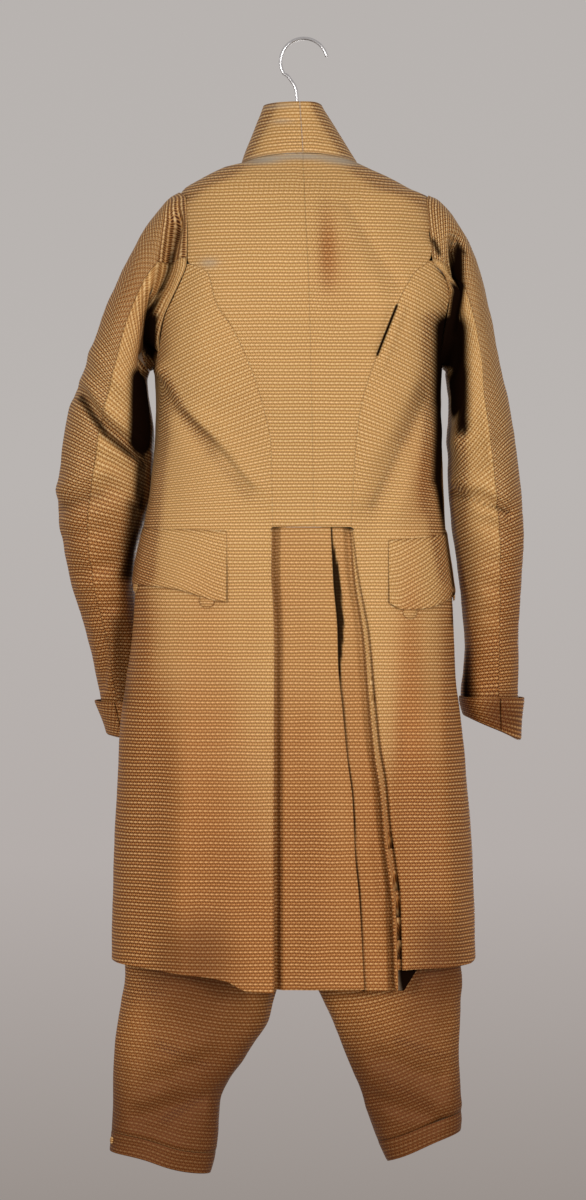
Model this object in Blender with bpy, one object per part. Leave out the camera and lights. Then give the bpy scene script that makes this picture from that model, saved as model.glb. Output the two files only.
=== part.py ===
"""A silk suit of about 1780 to 1795 on a hook hanger: a coat and knee breeches, seen from behind.

Tables and values are in millimetres, and each table's first column, down, is the depth below the
hook's seat, which is the origin. Meshes are in metres. +Z is up, the coat's back faces -Y and the
wearer's right is +X. Angles round a section start at +X and turn towards +Y, so the centre back is
at -90 degrees."""

import bpy
import bmesh
import math
import numpy as np
from mathutils import Vector

MM = 0.001
WALL = 1.5  # silk with its interlining
SEAM = 0.3  # gap between pieces that are sewn together
ROUND = 2.5  # power of the rounded sections
SLEEVE_ROUND = 2.2

# Hanger
WIRE = 4.0
HOOK_RADIUS = 28.0
SHANK_X = -8.4
BAR_WIDE = 11.0
BAR_DROP = 6.0  # from the shoulder ridge's outside to the bar
CLIP_X = (-95.0, 80.0)
CLIP_SIZE = (34.0, 3.0, 26.0)  # width, thickness of a jaw, height
WIRE_OUT = 22.0  # from a clip's middle to the drop wire's upright

# Coat
WAIST = 586.0
UNDERARM = 391.0
SHOULDER = 192.0
NECK_BACK = 147.0
NECK_SIDE = 150.0
NECK_FRONT = 212.0
NECK_CENTRE = -1.0  # x of the centre back at the neck
RIDGE_GAP = 0.002  # from each panel to the shoulder seam, in radians
PLEAT_DEEP = 42.0
CUFF_ROWS = [1323.0, 1361.0, 1400.0]  # in hundredths of the sleeve's sections
BUTTON = 18.0
KNEE_BUTTON = 9.0
SLEEVE_CLEAR = 2.0  # from the armhole's edge to the sleeve's head
SLEEVE_LEAN = 12.0  # a sleeve's inner edge lies this far before its middle, the outer one behind

# Breeches
BREECHES_TOP = 700.0
WAISTBAND = 34.0
CROTCH = 1095.0
LEG_COLUMNS = 9


def table(names, *rows):
    return dict(zip(names.split(), np.array(rows, float).T))


TORSO = table(
    "down left right back front",
    (131, -60, 52, 50, 5),
    (147, -72, 62, 57, 10),
    (150, -76, 66, 59, 14),
    (156, -99, 80, 63, 24),
    (168, -125, 106, 71, 38),
    (180, -144, 127, 78, 48),
    (192, -151, 150, 84, 57),
    (215, -157, 158, 91, 66),
    (240, -163, 166, 96, 75),
    (280, -170, 181, 101, 84),
    (310, -175, 184, 102, 88),
    (350, -178, 175, 101, 90),
    (391, -179, 167, 98, 90),
    (448, -178, 165, 92, 88),
    (532, -184, 167, 83, 85),
    (586, -192, 170, 80, 84),
    (641, -201, 176, 86, 85),
    (701, -205, 180, 91, 86),
    (760, -212, 182, 95, 88),
    (826, -220, 189, 98, 90),
    (912, -224, 197, 101, 93),
    (1000, -228, 203, 104, 96),
    (1068, -230, 206, 106, 98),
    (1145, -230, 206, 108, 99),
)

# The back pieces: the centre seam, and the edge along the armhole and the curved side-back seam.
CENTRE_BACK = table("down x", (147, -1), (199, 1), (312, 6), (441, 9), (586, 12))
BACK_EDGE = {
    -1: table(
        "down x",
        (192, -150),
        (200, -141),
        (240, -138),
        (272, -138),
        (284, -115),
        (322, -104),
        (353, -84),
        (404, -61),
        (449, -47),
        (490, -39),
        (586, -37),
    ),
    1: table(
        "down x",
        (192, 149),
        (200, 147),
        (235, 150),
        (266, 151),
        (286, 131),
        (328, 108),
        (384, 86),
        (441, 68),
        (490, 61),
        (586, 56),
    ),
}
# Depths that the back and the front share along their seam.
HORN_ROWS = {-1: [275, 282, 290], 1: [270, 279, 290]}
SEAM_ROWS = [322, 353, UNDERARM, 425, 462, 500, 543, WAIST]
# The armhole's edges on the fronts: behind the arm and before it.
ARMHOLE = {
    -1: table(
        "down behind before",
        (192, -150.5, -150.5),
        (200, -141, -142),
        (240, -138, -138),
        (274, -138.5, -137),
        (290, -144, -139),
        (311, -154, -144),
        (340, -167, -154),
        (372, -173, -166),
        (391, -175, -172),
    ),
    1: table(
        "down behind before",
        (192, 149.5, 149.5),
        (200, 147, 141),
        (240, 150, 138),
        (270, 153, 139),
        (290, 168, 142),
        (311, 173, 146),
        (340, 168, 152),
        (372, 164, 158),
        (391, 163, 161),
    ),
}
FRONT_EDGE = table(
    "down x", (212, 1.5), (400, 1.5), (500, 9), (586, 22), (700, 45), (850, 77), (1000, 107), (1110, 126)
)

# Skirts: the pleats' first fold, the vent's edge, and how the pleats open downwards.
FOLD = {
    -1: table("down x", (586, -37.5), (640, -38), (672, -36), (720, -34.5), (1140, -35)),
    1: table(
        "down x",
        (586, 57),
        (643, 64.5),
        (713, 77.5),
        (770, 83),
        (847, 91.5),
        (883, 98.5),
        (940, 104.5),
        (987, 111.5),
        (1022, 116),
        (1140, 118.5),
    ),
}
VENT = table(
    "down x",
    (586, 31.5),
    (653, 35),
    (703, 39.5),
    (752, 41),
    (790, 45),
    (859, 52),
    (906, 58),
    (975, 61.5),
    (1022, 66),
    (1140, 73),
)
PLEAT = table(
    "down bend nip proud",
    (586, 1.9, 0.35, 1),
    (640, 2.4, 0.5, 4),
    (760, 3.0, 0.8, 6),
    (1140, 4.0, 1.5, 6.5),
)
SECOND_FOLD = {-1: -0.46, 1: 1.0}  # shares of proud: set back on the left, standing out on the right
PANEL_SINK = table("down sink", (586, 0), (640, 3), (760, 7), (1140, 10))
HEM = {
    -1: table(
        "angle down",
        (-285, 1072),
        (-230, 1086),
        (-180, 1100),
        (-150, 1110),
        (-128, 1119),
        (-117, 1131),
        (-90, 1134),
    ),
    1: table(
        "angle down",
        (-90, 1131),
        (-60, 1111),
        (-40, 1108),
        (-12, 1104),
        (0, 1094),
        (40, 1086),
        (105, 1072),
    ),
}
BACK_HEM = {-1: 1130.0, 1: 1132.0}
VENT_LAP = 34.0  # how far the right back skirt runs on under the left
HEM_LEVEL = 1100.0  # where the skirt's angles are taken at its end
SKIRT_SHARES = [0, 0.05, 0.12, 0.23, 0.36, 0.5, 0.64, 0.77, 0.89, 1]

# Largest folds, as soft ridges (height over 0) and troughs along lines on the back or front.
FOLDS = table(
    "x0 down0 x1 down1 wide height side",
    (-172, 396, -146, 443, 9, 4, -1),
    (-146, 443, -104, 478, 10, 6, -1),
    (-104, 478, -58, 535, 12, 4, -1),
    (-164, 425, -118, 492, 14, -5, -1),
    (146, 425, 116, 484, 15, -5, -1),
    (116, 484, 74, 575, 17, -5, -1),
    (150, 470, 112, 560, 20, 4, -1),
    (-124, 740, -130, 1130, 22, 7, -1),
    (-156, 730, -164, 1130, 18, -6, -1),
    (-80, 720, -84, 1130, 26, 3, -1),
    (104, 730, 134, 1110, 18, -6, -1),
    (160, 690, 168, 1110, 22, 4, -1),
    (-60, 215, -48, 300, 22, -3, -1),
    (60, 190, 100, 300, 14, -3, -1),
    (-150, 420, -90, 520, 14, 5, 1),
    (150, 430, 96, 530, 14, 5, 1),
    (-150, 760, -156, 1080, 24, 6, 1),
    (-108, 760, -122, 1080, 22, -5, 1),
    (140, 760, 150, 1080, 24, 6, 1),
    (104, 760, 116, 1080, 22, -5, 1),
)

# Sleeves: the outer and the inner edge of each section as seen from behind, then its middle and
# half depth from back to front. Section 0 is the armhole.
SLEEVE = {
    -1: table(
        "at outer_x outer_down inner_x inner_down y deep",
        (0, -151, 192, -178, 391, 0, 58),
        (1, -164, 196, -184, 397, 0, 64),
        (2, -188, 224, -186, 400, 2, 68),
        (3, -212, 271, -188, 411, 4, 70),
        (4, -233, 316, -186, 428, 6, 70),
        (5, -248, 354, -182, 450, 8, 69),
        (6, -264, 396, -179, 477, 12, 68),
        (7, -280, 438, -179, 508, 17, 67),
        (8, -291, 498, -181, 544, 24, 66),
        (9, -298, 558, -190, 582, 33, 65),
        (10, -290, 612, -202, 624, 44, 62),
        (11, -276, 672, -204, 672, 57, 58),
        (12, -262, 720, -197, 720, 70, 53),
        (13, -251, 780, -193, 782, 88, 48),
        (14, -240, 836, -183, 847, 101, 46),
    ),
    1: table(
        "at outer_x outer_down inner_x inner_down y deep",
        (0, 150, 192, 165, 391, 0, 58),
        (1, 168, 203, 176, 397, 0, 63),
        (2, 190, 230, 179, 402, 2, 66),
        (3, 204, 258, 182, 417, 4, 68),
        (4, 216, 298, 184, 436, 5, 69),
        (5, 226, 340, 184, 460, 7, 69),
        (6, 235, 390, 178, 492, 9, 68),
        (7, 245, 432, 175, 518, 12, 67),
        (8, 253, 480, 176, 548, 15, 66),
        (9, 260, 534, 178, 582, 20, 64),
        (10, 264, 588, 184, 624, 27, 61),
        (11, 262, 654, 190, 672, 36, 56),
        (12, 260, 720, 194, 728, 46, 51),
        (13, 260, 776, 192, 780, 56, 47),
        (14, 263, 842, 195, 812, 62, 46),
    ),
}

# The hind and front seams lie at these turns, in half circles from the outer edge.
HIND_SEAM = 0.42
SLEEVE_TURNS = {
    "top": np.linspace(-HIND_SEAM, HIND_SEAM, 9) * math.pi,
    "under": np.linspace(HIND_SEAM, 2 - HIND_SEAM, 9) * math.pi,
}

# The collar's top edge against its foot at the neck seam.
COLLAR_TOP = {"left": -49.0, "right": 22.0, "back": 45.0, "front": 44.0, "down": 79.5, "front_down": 150.0}
COLLAR_SEAM = -5.0  # x of the centre back at the collar's top

# Breeches, as seen from behind: each leg's outer and inner edge, its half depth and its middle.
LEG = {
    -1: table(
        "down outer inner deep y",
        (700, -165, -8, 9, 0),
        (735, -170, -8, 14, 0),
        (800, -188, -8, 34, 0),
        (900, -203, -8, 46, 0),
        (1000, -211, -8, 50, 0),
        (1095, -214, -9, 52, 0),
        (1118, -214, -24, 51, 0),
        (1152, -218, -36, 49, 0),
        (1176, -222, -42, 48, 0),
        (1200, -226, -58, 47, 0),
        (1224, -228, -73, 46, 0),
        (1248, -229, -90, 45, 0),
        (1272, -229, -100, 44, 0),
        (1296, -230, -102, 43, 0),
        (1330, -233, -105, 42, 0),
        (1360, -236, -112, 41, 0),
    ),
    1: table(
        "down outer inner deep y",
        (700, 148, -8, 9, 0),
        (735, 152, -8, 14, 0),
        (800, 163, -8, 34, 0),
        (900, 177, -8, 46, 0),
        (1000, 184, -8, 50, 0),
        (1095, 186, -7, 52, 0),
        (1118, 188, 8, 51, 0),
        (1145, 188, 20, 49, 0),
        (1175, 187, 34, 48, 0),
        (1212, 186, 50, 47, 0),
        (1255, 188, 67, 45, 0),
        (1285, 189, 76, 44, 0),
        (1326, 188, 91, 42, 0),
        (1345, 187, 100, 41, 0),
    ),
}
LEG_END = {-1: (1331.0, 1358.0), 1: (1306.0, 1344.0)}  # outer and inner edge
SLIT = table("down half_gap", (1160, 0), (1185, 3), (1240, 6), (1345, 7))
KNEE_GAP = {-1: 0.02, 1: 0.14}  # half of the knee band's opening, in radians

# Pocket flaps: shares of the flap's length from its rear end round the side, and its edges.
FLAP_END = {-1: (-91.0, -205.0), 1: (99.7, 29.0)}  # x of the rear end, angle of the front end
FLAP = {
    -1: table(
        "share top bottom",
        (0, 590, 675),
        (0.08, 590, 673),
        (0.17, 589, 667),
        (0.3, 588, 659),
        (0.45, 587, 655),
        (0.6, 585, 652),
        (0.72, 583, 656),
        (0.85, 581, 647),
        (1, 578, 650),
    ),
    1: table(
        "share top bottom",
        (0, 601, 676),
        (0.08, 600, 684),
        (0.2, 598, 683),
        (0.35, 594, 673),
        (0.5, 590, 664),
        (0.62, 586, 661),
        (0.75, 583, 664),
        (0.88, 580, 655),
        (1, 577, 658),
    ),
}

SILK = (0.50, 0.30, 0.13, 1)
SILK_BROWN = (0.40, 0.21, 0.09, 1)
STEEL = (0.75, 0.75, 0.77, 1)
WOOD = (0.55, 0.38, 0.22, 1)


def curve(rows, column, at, key="down"):
    """A smooth curve through a table's column that never overshoots its rows."""
    x, y = rows[key], rows[column]
    steps = np.diff(x)
    rise = np.diff(y) / steps
    slope = np.concatenate([rise[:1], np.zeros(len(x) - 2), rise[-1:]])
    both = rise[:-1] * rise[1:]
    middle = np.where(both > 0, 2 * both / np.where(both > 0, rise[:-1] + rise[1:], 1), 0)
    slope[1:-1] = middle
    at = np.asarray(at, float)
    i = np.clip(np.searchsorted(x, at) - 1, 0, len(x) - 2)
    t = np.clip((at - x[i]) / steps[i], 0, 1)
    keep = (1 + 2 * t) * (1 - t) ** 2 * y[i] + t**2 * (3 - 2 * t) * y[i + 1]
    return keep + steps[i] * (t * (1 - t) ** 2 * slope[i] - t**2 * (1 - t) * slope[i + 1])


def smooth_step(low, high, at):
    t = np.clip((np.asarray(at, float) - low) / (high - low), 0, 1)
    return t * t * (3 - 2 * t)


def mix(a, b, share):
    return a + (b - a) * share


def ring(angle, half, deep):
    """A rounded section's point at an angle, and its outward direction."""
    c, s = np.cos(angle), np.sin(angle)
    reach = ((np.abs(c) / half) ** ROUND + (np.abs(s) / deep) ** ROUND) ** (-1 / ROUND)
    x, y = reach * c, reach * s
    out_x = np.sign(c) * (np.abs(x) / half) ** (ROUND - 1) / half
    out_y = np.sign(s) * (np.abs(y) / deep) ** (ROUND - 1) / deep
    length = np.hypot(out_x, out_y)
    return x, y, out_x / length, out_y / length


def fold_height(x, y, down):
    """How far the folds push the cloth out at a point of the coat."""
    height = np.zeros(np.broadcast(x, y, down).shape)
    for x0, down0, x1, down1, wide, rise, side in zip(*FOLDS.values()):
        run, fall = x1 - x0, down1 - down0
        near = np.clip(((x - x0) * run + (down - down0) * fall) / (run**2 + fall**2), 0, 1)
        away = np.hypot(x - mix(x0, x1, near), down - mix(down0, down1, near))
        facing = smooth_step(0, 25, y * side)
        height = height + rise * np.exp(-((away / wide) ** 2)) * facing
    return height


def torso(angle, down):
    left, right, back, front = (curve(TORSO, name, down) for name in ("left", "right", "back", "front"))
    middle, half = (left + right) / 2, (right - left) / 2
    x, y, out_x, out_y = ring(angle, half, np.where(np.sin(angle) < 0, back, front))
    push = fold_height(middle + x, y, down)
    return np.stack(np.broadcast_arrays(middle + x + push * out_x, y + push * out_y, -down), -1)


def torso_angle(x, down, side, facing=-1):
    """The angle of the coat's point at x, on its back (facing -1) or its front (facing 1)."""
    left, right, back, front = (curve(TORSO, name, down) for name in ("left", "right", "back", "front"))
    middle, half = (left + right) / 2, (right - left) / 2
    share = np.clip((x - middle) / half, -0.9999, 0.9999)
    deep = np.where(facing < 0, back, front)
    angle = np.arctan2(facing * deep * (1 - np.abs(share) ** ROUND) ** (1 / ROUND), share * half)
    return angle - 2 * math.pi if side < 0 and facing > 0 else angle


def outward(surface, a, b, sign=1):
    """Unit normals of a surface, from its points close by."""
    step_a, step_b = 1e-3, 0.5
    along_a = surface(a + step_a, b) - surface(a - step_a, b)
    along_b = surface(a, b + step_b) - surface(a, b - step_b)
    normal = sign * np.cross(along_b, along_a)
    return normal / np.linalg.norm(normal, axis=-1, keepdims=True)


parts = bpy.data.collections.new("silk_suit")


def clear_scene():
    for obj in list(bpy.data.objects):
        bpy.data.objects.remove(obj)
    bpy.context.scene.collection.children.link(parts)


def material(name, colour, roughness=0.6, metallic=0.0):
    made = bpy.data.materials.new(name)
    made.use_nodes = True
    shader = made.node_tree.nodes["Principled BSDF"]
    shader.inputs["Base Color"].default_value = colour
    shader.inputs["Roughness"].default_value = roughness
    shader.inputs["Metallic"].default_value = metallic
    made.diffuse_color = colour
    return made


def finish(name, bm, colour, roughness=0.6, metallic=0.0):
    mesh = bpy.data.meshes.new(name)
    bm.to_mesh(mesh)
    bm.free()
    mesh.shade_smooth()
    mesh.set_sharp_from_angle(angle=math.radians(40))
    obj = bpy.data.objects.new(name, mesh)
    parts.objects.link(obj)
    mesh.materials.append(material(name, colour, roughness, metallic))
    return obj


def cloth(name, outer, inner, colour=SILK, cut_away=None):
    """A wall of cloth between two grids of points, less the cells marked in cut_away."""
    rows, cols = outer.shape[:2]
    bm = bmesh.new()
    bmesh.ops.create_grid(bm, x_segments=cols - 1, y_segments=rows - 1, size=1)
    place = bm.verts.layers.int.new("place")
    bm.verts.ensure_lookup_table()
    for i, vert in enumerate(bm.verts):
        vert[place] = i
        vert.co = outer[divmod(i, cols)] * MM
    if cut_away is not None:
        bm.faces.ensure_lookup_table()
        gone = [face for face in bm.faces if cut_away[min(divmod(v[place], cols) for v in face.verts)]]
        bmesh.ops.delete(bm, geom=gone, context="FACES")
    made = bmesh.ops.extrude_face_region(bm, geom=bm.faces[:], use_keep_orig=True)
    for vert in made["geom"]:
        if isinstance(vert, bmesh.types.BMVert):
            vert.co = inner[divmod(vert[place], cols)] * MM
    bmesh.ops.recalc_face_normals(bm, faces=bm.faces[:])
    return finish(name, bm, colour)


def cloth_on(name, surface, a, b, sign=1, lift=0.0, colour=SILK):
    """A wall of cloth whose inner side lies at lift over a surface."""
    points, normal = surface(a, b), outward(surface, a, b, sign)
    lift = np.asarray(lift, float)[..., None]
    base = points + normal * lift
    if lift.any():
        return cloth(name, base + normal * WALL, base, colour)
    return cloth(name, points, points - normal * WALL, colour)


def spread(start, end, count):
    """Rows of evenly spaced values between two columns of values."""
    share = np.linspace(0, 1, count)
    return mix(np.asarray(start, float)[:, None], np.asarray(end, float)[:, None], share)


def side_name(side):
    return "left" if side < 0 else "right"


def build_back(side):
    """From the centre back seam to the shoulder seam, the armhole and the side-back seam."""
    down = np.array([147, 156, 168, 180, 192, 201, 218, 240] + HORN_ROWS[side] + SEAM_ROWS)
    down[-1] -= SEAM / 2
    ridge = -math.pi + RIDGE_GAP if side < 0 else -RIDGE_GAP
    edge_x = curve(BACK_EDGE[side], "x", down) - side * SEAM / 2
    edge = np.where(down <= SHOULDER, ridge, torso_angle(edge_x, down, side))
    centre = torso_angle(curve(CENTRE_BACK, "x", down) + side * SEAM / 2, down, side)
    part = np.linspace(0, 1, 8)
    angle = spread(centre, edge, len(part))
    depth = np.repeat(down[:, None], len(part), 1)
    depth[0] += part**2 * (NECK_SIDE - NECK_BACK)
    neck_x = mix(NECK_CENTRE + side * SEAM / 2, curve(TORSO, side_name(side), NECK_SIDE), part)
    angle[0] = torso_angle(neck_x, depth[0], side)
    angle[0, -1] = ridge
    return cloth_on(f"coat_back_{side_name(side)}", torso, angle, depth)


def pleat_path(bend, nip, proud, wall):
    """The turned-under cloth's section, from its free end to the first fold, as shares along the
    coat and depths below it. wall moves it from the silk's right side to its wrong side."""
    bend_in, nip_in = bend - wall, nip + wall
    turn = np.linspace(-math.pi / 2, math.pi / 2, 5)
    second = bend - proud
    base = 2 * bend + 2 * nip
    path = [(PLEAT_DEEP, base + bend + bend_in), (PLEAT_DEEP / 2, base + bend + bend_in)]
    path += [(second - bend_in * math.cos(t), base + bend - bend_in * math.sin(t)) for t in turn]
    path += [(PLEAT_DEEP / 2, base + bend - bend_in)]
    path += [(PLEAT_DEEP + nip_in * math.cos(t), 2 * bend + nip - nip_in * math.sin(t)) for t in turn[::2]]
    path += [(PLEAT_DEEP / 2, bend + bend_in)]
    path += [(bend - bend_in * math.cos(t), bend - bend_in * math.sin(t)) for t in turn[:-1]]
    return path


def front_hem(side, x, down):
    """The depth of the front's hem where the skirt passes x."""
    return curve(HEM[side], "down", np.degrees(torso_angle(x, down, side)), "angle")


def pleat_points(side, down, wall):
    """Rows of points of the pleats, at the depths below the waist. Only the second fold reaches
    down to the back's hem: the cloth behind it rises with the front's."""
    rows = []
    for at in down:
        bend, nip, proud = (float(curve(PLEAT, name, at)) for name in ("bend", "nip", "proud"))
        path = np.array(pleat_path(bend, nip, proud * SECOND_FOLD[side], wall))
        x = curve(FOLD[side], "x", at) + side * path[:, 0]
        behind = path[:, 1] > 2 * bend + 2 * nip
        second_fold = behind * smooth_step(PLEAT_DEEP / 2, 4, path[:, 0])
        hem = front_hem(side, x, at)
        hem = mix(hem, np.maximum(hem, BACK_HEM[side] - 1), second_fold)
        level = mix(WAIST, hem, (at - WAIST) / (down[-1] - WAIST))
        angle = torso_angle(x, level, side)
        rows.append(torso(angle, level) - outward(torso, angle, level) * path[:, 1:])
    return np.array(rows)


def build_front(side):
    """The front with its skirt and pleats, from the side-back seam round to the centre front."""
    behind = np.array(HORN_ROWS[side][:1] * 4 + HORN_ROWS[side] + SEAM_ROWS)
    before = np.array([150, 168, 192, 205, 225, 248, 275, 310, 350] + SEAM_ROWS[2:])
    centre = np.array([212, 220, 234, 248, 264, 284, 306, 332, 362, 397, 428, 463, 501, 543, WAIST])
    horn, arm, horn_cols, front_cols = 4, 9, 10, 8
    waist_row = len(behind) - 1
    edge_x = curve(BACK_EDGE[side], "x", behind) + side * SEAM / 2
    rear = torso_angle(edge_x, behind, side)
    horn_edge = torso_angle(curve(ARMHOLE[side], "behind", behind), behind, side)
    arm_edge = torso_angle(curve(ARMHOLE[side], "before", before), before, side, 1)
    ridge = -math.pi - RIDGE_GAP if side < 0 else RIDGE_GAP
    arm_edge[before <= SHOULDER] = ridge
    front_edge = torso_angle(side * curve(FRONT_EDGE, "x", centre), centre, side, 1)

    # Below the armhole the columns even out towards the waist.
    even = smooth_step(UNDERARM, WAIST, behind)
    below = behind > UNDERARM
    horn_edge = np.where(below, mix(horn_edge[arm], mix(rear, front_edge, 0.48), even), horn_edge)
    arm_edge = np.where(below, mix(arm_edge[arm], mix(rear, front_edge, 0.56), even), arm_edge)
    angle = np.hstack([
        spread(rear, horn_edge, horn_cols + 1)[:, :-1],
        spread(horn_edge, arm_edge, 3)[:, :-1],
        spread(arm_edge, front_edge, front_cols + 1),
    ])
    depth = np.hstack([
        spread(behind, behind, horn_cols + 1)[:, :-1],
        spread(behind, before, 3)[:, :-1],
        spread(before, centre, front_cols + 1),
    ])
    # The neck and shoulder rows follow the neck's curve.
    part = np.linspace(0, 1, front_cols + 1)
    neck_x = curve(TORSO, side_name(side), NECK_SIDE) * np.cos(part * math.pi / 2)
    neck_down = NECK_SIDE + (NECK_FRONT - NECK_SIDE) * np.sin(part * math.pi / 2)
    bulge_x = neck_x - mix(neck_x[0], neck_x[-1], part)
    bulge_down = neck_down - mix(neck_down[0], neck_down[-1], part)
    first = horn_cols + 2
    for row, weight in ((0, 1), (1, 0.75), (2, 0.5), (3, 0.25)):
        level = before[row]
        start = curve(TORSO, side_name(side), level)
        if level > SHOULDER:
            start = curve(ARMHOLE[side], "before", level)
        x = mix(start, side * FRONT_EDGE["x"][0], part) + weight * bulge_x
        depth[row, first:] = mix(level, centre[row], part) + weight * bulge_down
        angle[row, first:] = torso_angle(x, depth[row, first:], side, 1)
        if level <= SHOULDER:
            angle[row, first] = ridge
        angle[row, -1] = front_edge[row]

    # The skirt runs on from the waist row to the hem.
    waist_angles, waist_depths = angle[waist_row], depth[waist_row]
    rows_a, rows_d = [], []
    for fraction in SKIRT_SHARES[1:]:
        level = mix(WAIST, HEM_LEVEL, fraction)
        bend = curve(PLEAT, "bend", level)
        start = float(torso_angle(curve(FOLD[side], "x", level) + side * bend, level, side))
        end = float(torso_angle(side * curve(FRONT_EDGE, "x", level), level, side, 1))
        row = start + (waist_angles - waist_angles[0]) * (end - start) / (waist_angles[-1] - waist_angles[0])
        hem = curve(HEM[side], "down", np.degrees(row), "angle")
        rows_a.append(row)
        rows_d.append(mix(waist_depths, hem, fraction))
    angle, depth = np.vstack([angle, rows_a]), np.vstack([depth, rows_d])
    outer = torso(angle, depth)
    inner = outer - outward(torso, angle, depth) * WALL

    # The pleats hang from just below the waist, beside the skirt's rear edge.
    levels = depth[waist_row:, 0].copy()
    levels[0] += 1.5
    outer_pleats, inner_pleats = (pleat_points(side, levels, wall) for wall in (0.0, WALL))
    blank = np.zeros((waist_row, outer_pleats.shape[1], 3))
    outer = np.hstack([np.vstack([blank, outer_pleats]), outer])
    inner = np.hstack([np.vstack([blank, inner_pleats]), inner])
    pleat_cols = outer_pleats.shape[1]
    cut = np.zeros((outer.shape[0], outer.shape[1]), bool)
    cut[:waist_row, :pleat_cols] = True
    cut[:horn, pleat_cols:pleat_cols + horn_cols] = True
    cut[:arm, pleat_cols + horn_cols:pleat_cols + horn_cols + 2] = True
    return cloth(f"coat_front_{side_name(side)}", outer, inner, SILK, cut)


def build_back_skirt(side):
    """From the vent to its end under the pleats; the left laps over the right."""
    share = np.array(SKIRT_SHARES)
    down = mix(WAIST + SEAM / 2, BACK_HEM[side], share)
    fold = curve(FOLD[side], "x", down)
    vent = curve(VENT, "x", down)
    lap = 0.0 if side < 0 else -VENT_LAP
    proud = curve(PLEAT, "proud", down) * max(SECOND_FOLD[side], 0)
    cols = np.array([1, 0.75, 0.5, 0.2, 0])
    under = fold[:, None] + side * (PLEAT_DEEP - 4) * cols
    open_from = fold - side * (proud + 2.5)
    open_to = open_from - side * 9
    seen = spread(open_to, vent + lap, 6)
    x = np.hstack([under, open_from[:, None], mix(open_from, open_to, 0.5)[:, None], seen])
    bend, nip = curve(PLEAT, "bend", down), curve(PLEAT, "nip", down)
    beneath = 4 * bend + 4 * nip + 0.5
    sink = curve(PANEL_SINK, "sink", down)
    if side > 0:
        sink = sink + mix(2.4, 5.0, smooth_step(0, 0.3, share))
    rise = smooth_step(0, 9, (open_from[:, None] - x) * side)
    deep = mix(beneath[:, None], sink[:, None], rise)
    level = np.repeat(down[:, None], x.shape[1], 1)
    hem = np.minimum(front_hem(side, under, down[:, None]) - WALL, BACK_HEM[side])
    level[:, :len(cols)] = mix(WAIST + SEAM / 2, hem, share[:, None])
    angle = torso_angle(x, level, side)
    normal = outward(torso, angle, level)
    points = torso(angle, level) - normal * deep[..., None]
    return cloth(f"coat_back_skirt_{side_name(side)}", points, points - normal * WALL, SILK_BROWN)


def armhole_point(side, turn):
    """The armhole's loop: turn 0 at the shoulder, down behind the arm to half a turn, up in front."""
    down = mix(SHOULDER, UNDERARM, (1 - np.cos(turn)) / 2)
    behind = torso(torso_angle(curve(ARMHOLE[side], "behind", down), down, side), down)
    before = torso(torso_angle(curve(ARMHOLE[side], "before", down), down, side, 1), down)
    return np.where((np.sin(turn) >= 0)[..., None], behind, before) + np.array([side * SLEEVE_CLEAR, 0, 0])


def sleeve(side):
    """A surface of the turn round the sleeve, 0 outside, and hundredths of a section down it."""
    rows = SLEEVE[side]

    def surface(turn, hundredths):
        at = hundredths / 100
        columns = (curve(rows, name, at, "at") for name in list(rows)[1:])
        outer_x, outer_down, inner_x, inner_down, y, deep = columns
        c, s = np.cos(turn), np.sin(turn)
        reach = (np.abs(c) ** SLEEVE_ROUND + np.abs(s) ** SLEEVE_ROUND) ** (-1 / SLEEVE_ROUND)
        along = (1 - reach * c) / 2
        x, down = mix(outer_x, inner_x, along), mix(outer_down, inner_down, along)
        lean = SLEEVE_LEAN * smooth_step(1, 4, at) * smooth_step(12, 9, at) * reach * c
        points = np.stack(np.broadcast_arrays(x, y - deep * reach * s - lean, -down), -1)
        join = np.clip(at, 0, 1)[..., None]
        return mix(armhole_point(side, turn), points, join)

    return surface


def build_sleeve(side):
    """The top sleeve is the outer half and the under sleeve the inner one."""
    surface = sleeve(side)
    stations = np.array([10, 50, 100] + list(range(180, 1300, 85)) + CUFF_ROWS, float)
    for name, turn in SLEEVE_TURNS.items():
        turn = turn.copy()
        turn[0] += 4e-3
        turn[-1] -= 4e-3
        a, b = np.meshgrid(turn, stations)
        cloth_on(f"coat_{name}_sleeve_{side_name(side)}", surface, a, b, -side)


def build_cuff(side):
    """A band turned back over the sleeve's end, resting on it below and standing off above."""
    surface = sleeve(side)
    turn = np.concatenate([SLEEVE_TURNS["under"][:-1] - 2 * math.pi, SLEEVE_TURNS["top"]])
    turn[0] += 0.01
    turn[-1] -= 0.01
    a, b = np.meshgrid(turn, np.array(CUFF_ROWS))
    lift = SEAM + 4.0 * np.linspace(1, 0, 3)[:, None] * (1.2 + 0.5 * np.cos(a))
    cloth_on(f"coat_cuff_{side_name(side)}", surface, a, b, -side, lift)


def neck_point(side, share):
    """The neck seam: share 0 at the centre back, a half at the shoulder and 1 at the centre front."""
    rear = np.clip(share * 2, 0, 1)
    fore = np.clip(share * 2 - 1, 0, 1) * math.pi / 2
    wide = curve(TORSO, side_name(side), NECK_SIDE)
    down_rear = NECK_BACK + rear**2 * (NECK_SIDE - NECK_BACK)
    down_fore = NECK_SIDE + (NECK_FRONT - NECK_SIDE) * np.sin(fore)
    behind = torso(torso_angle(mix(NECK_CENTRE, wide, rear), down_rear, side), down_rear)
    before = torso(torso_angle(wide * np.cos(fore), down_fore, side, 1), down_fore)
    return np.where((share <= 0.5)[..., None], behind, before)


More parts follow.
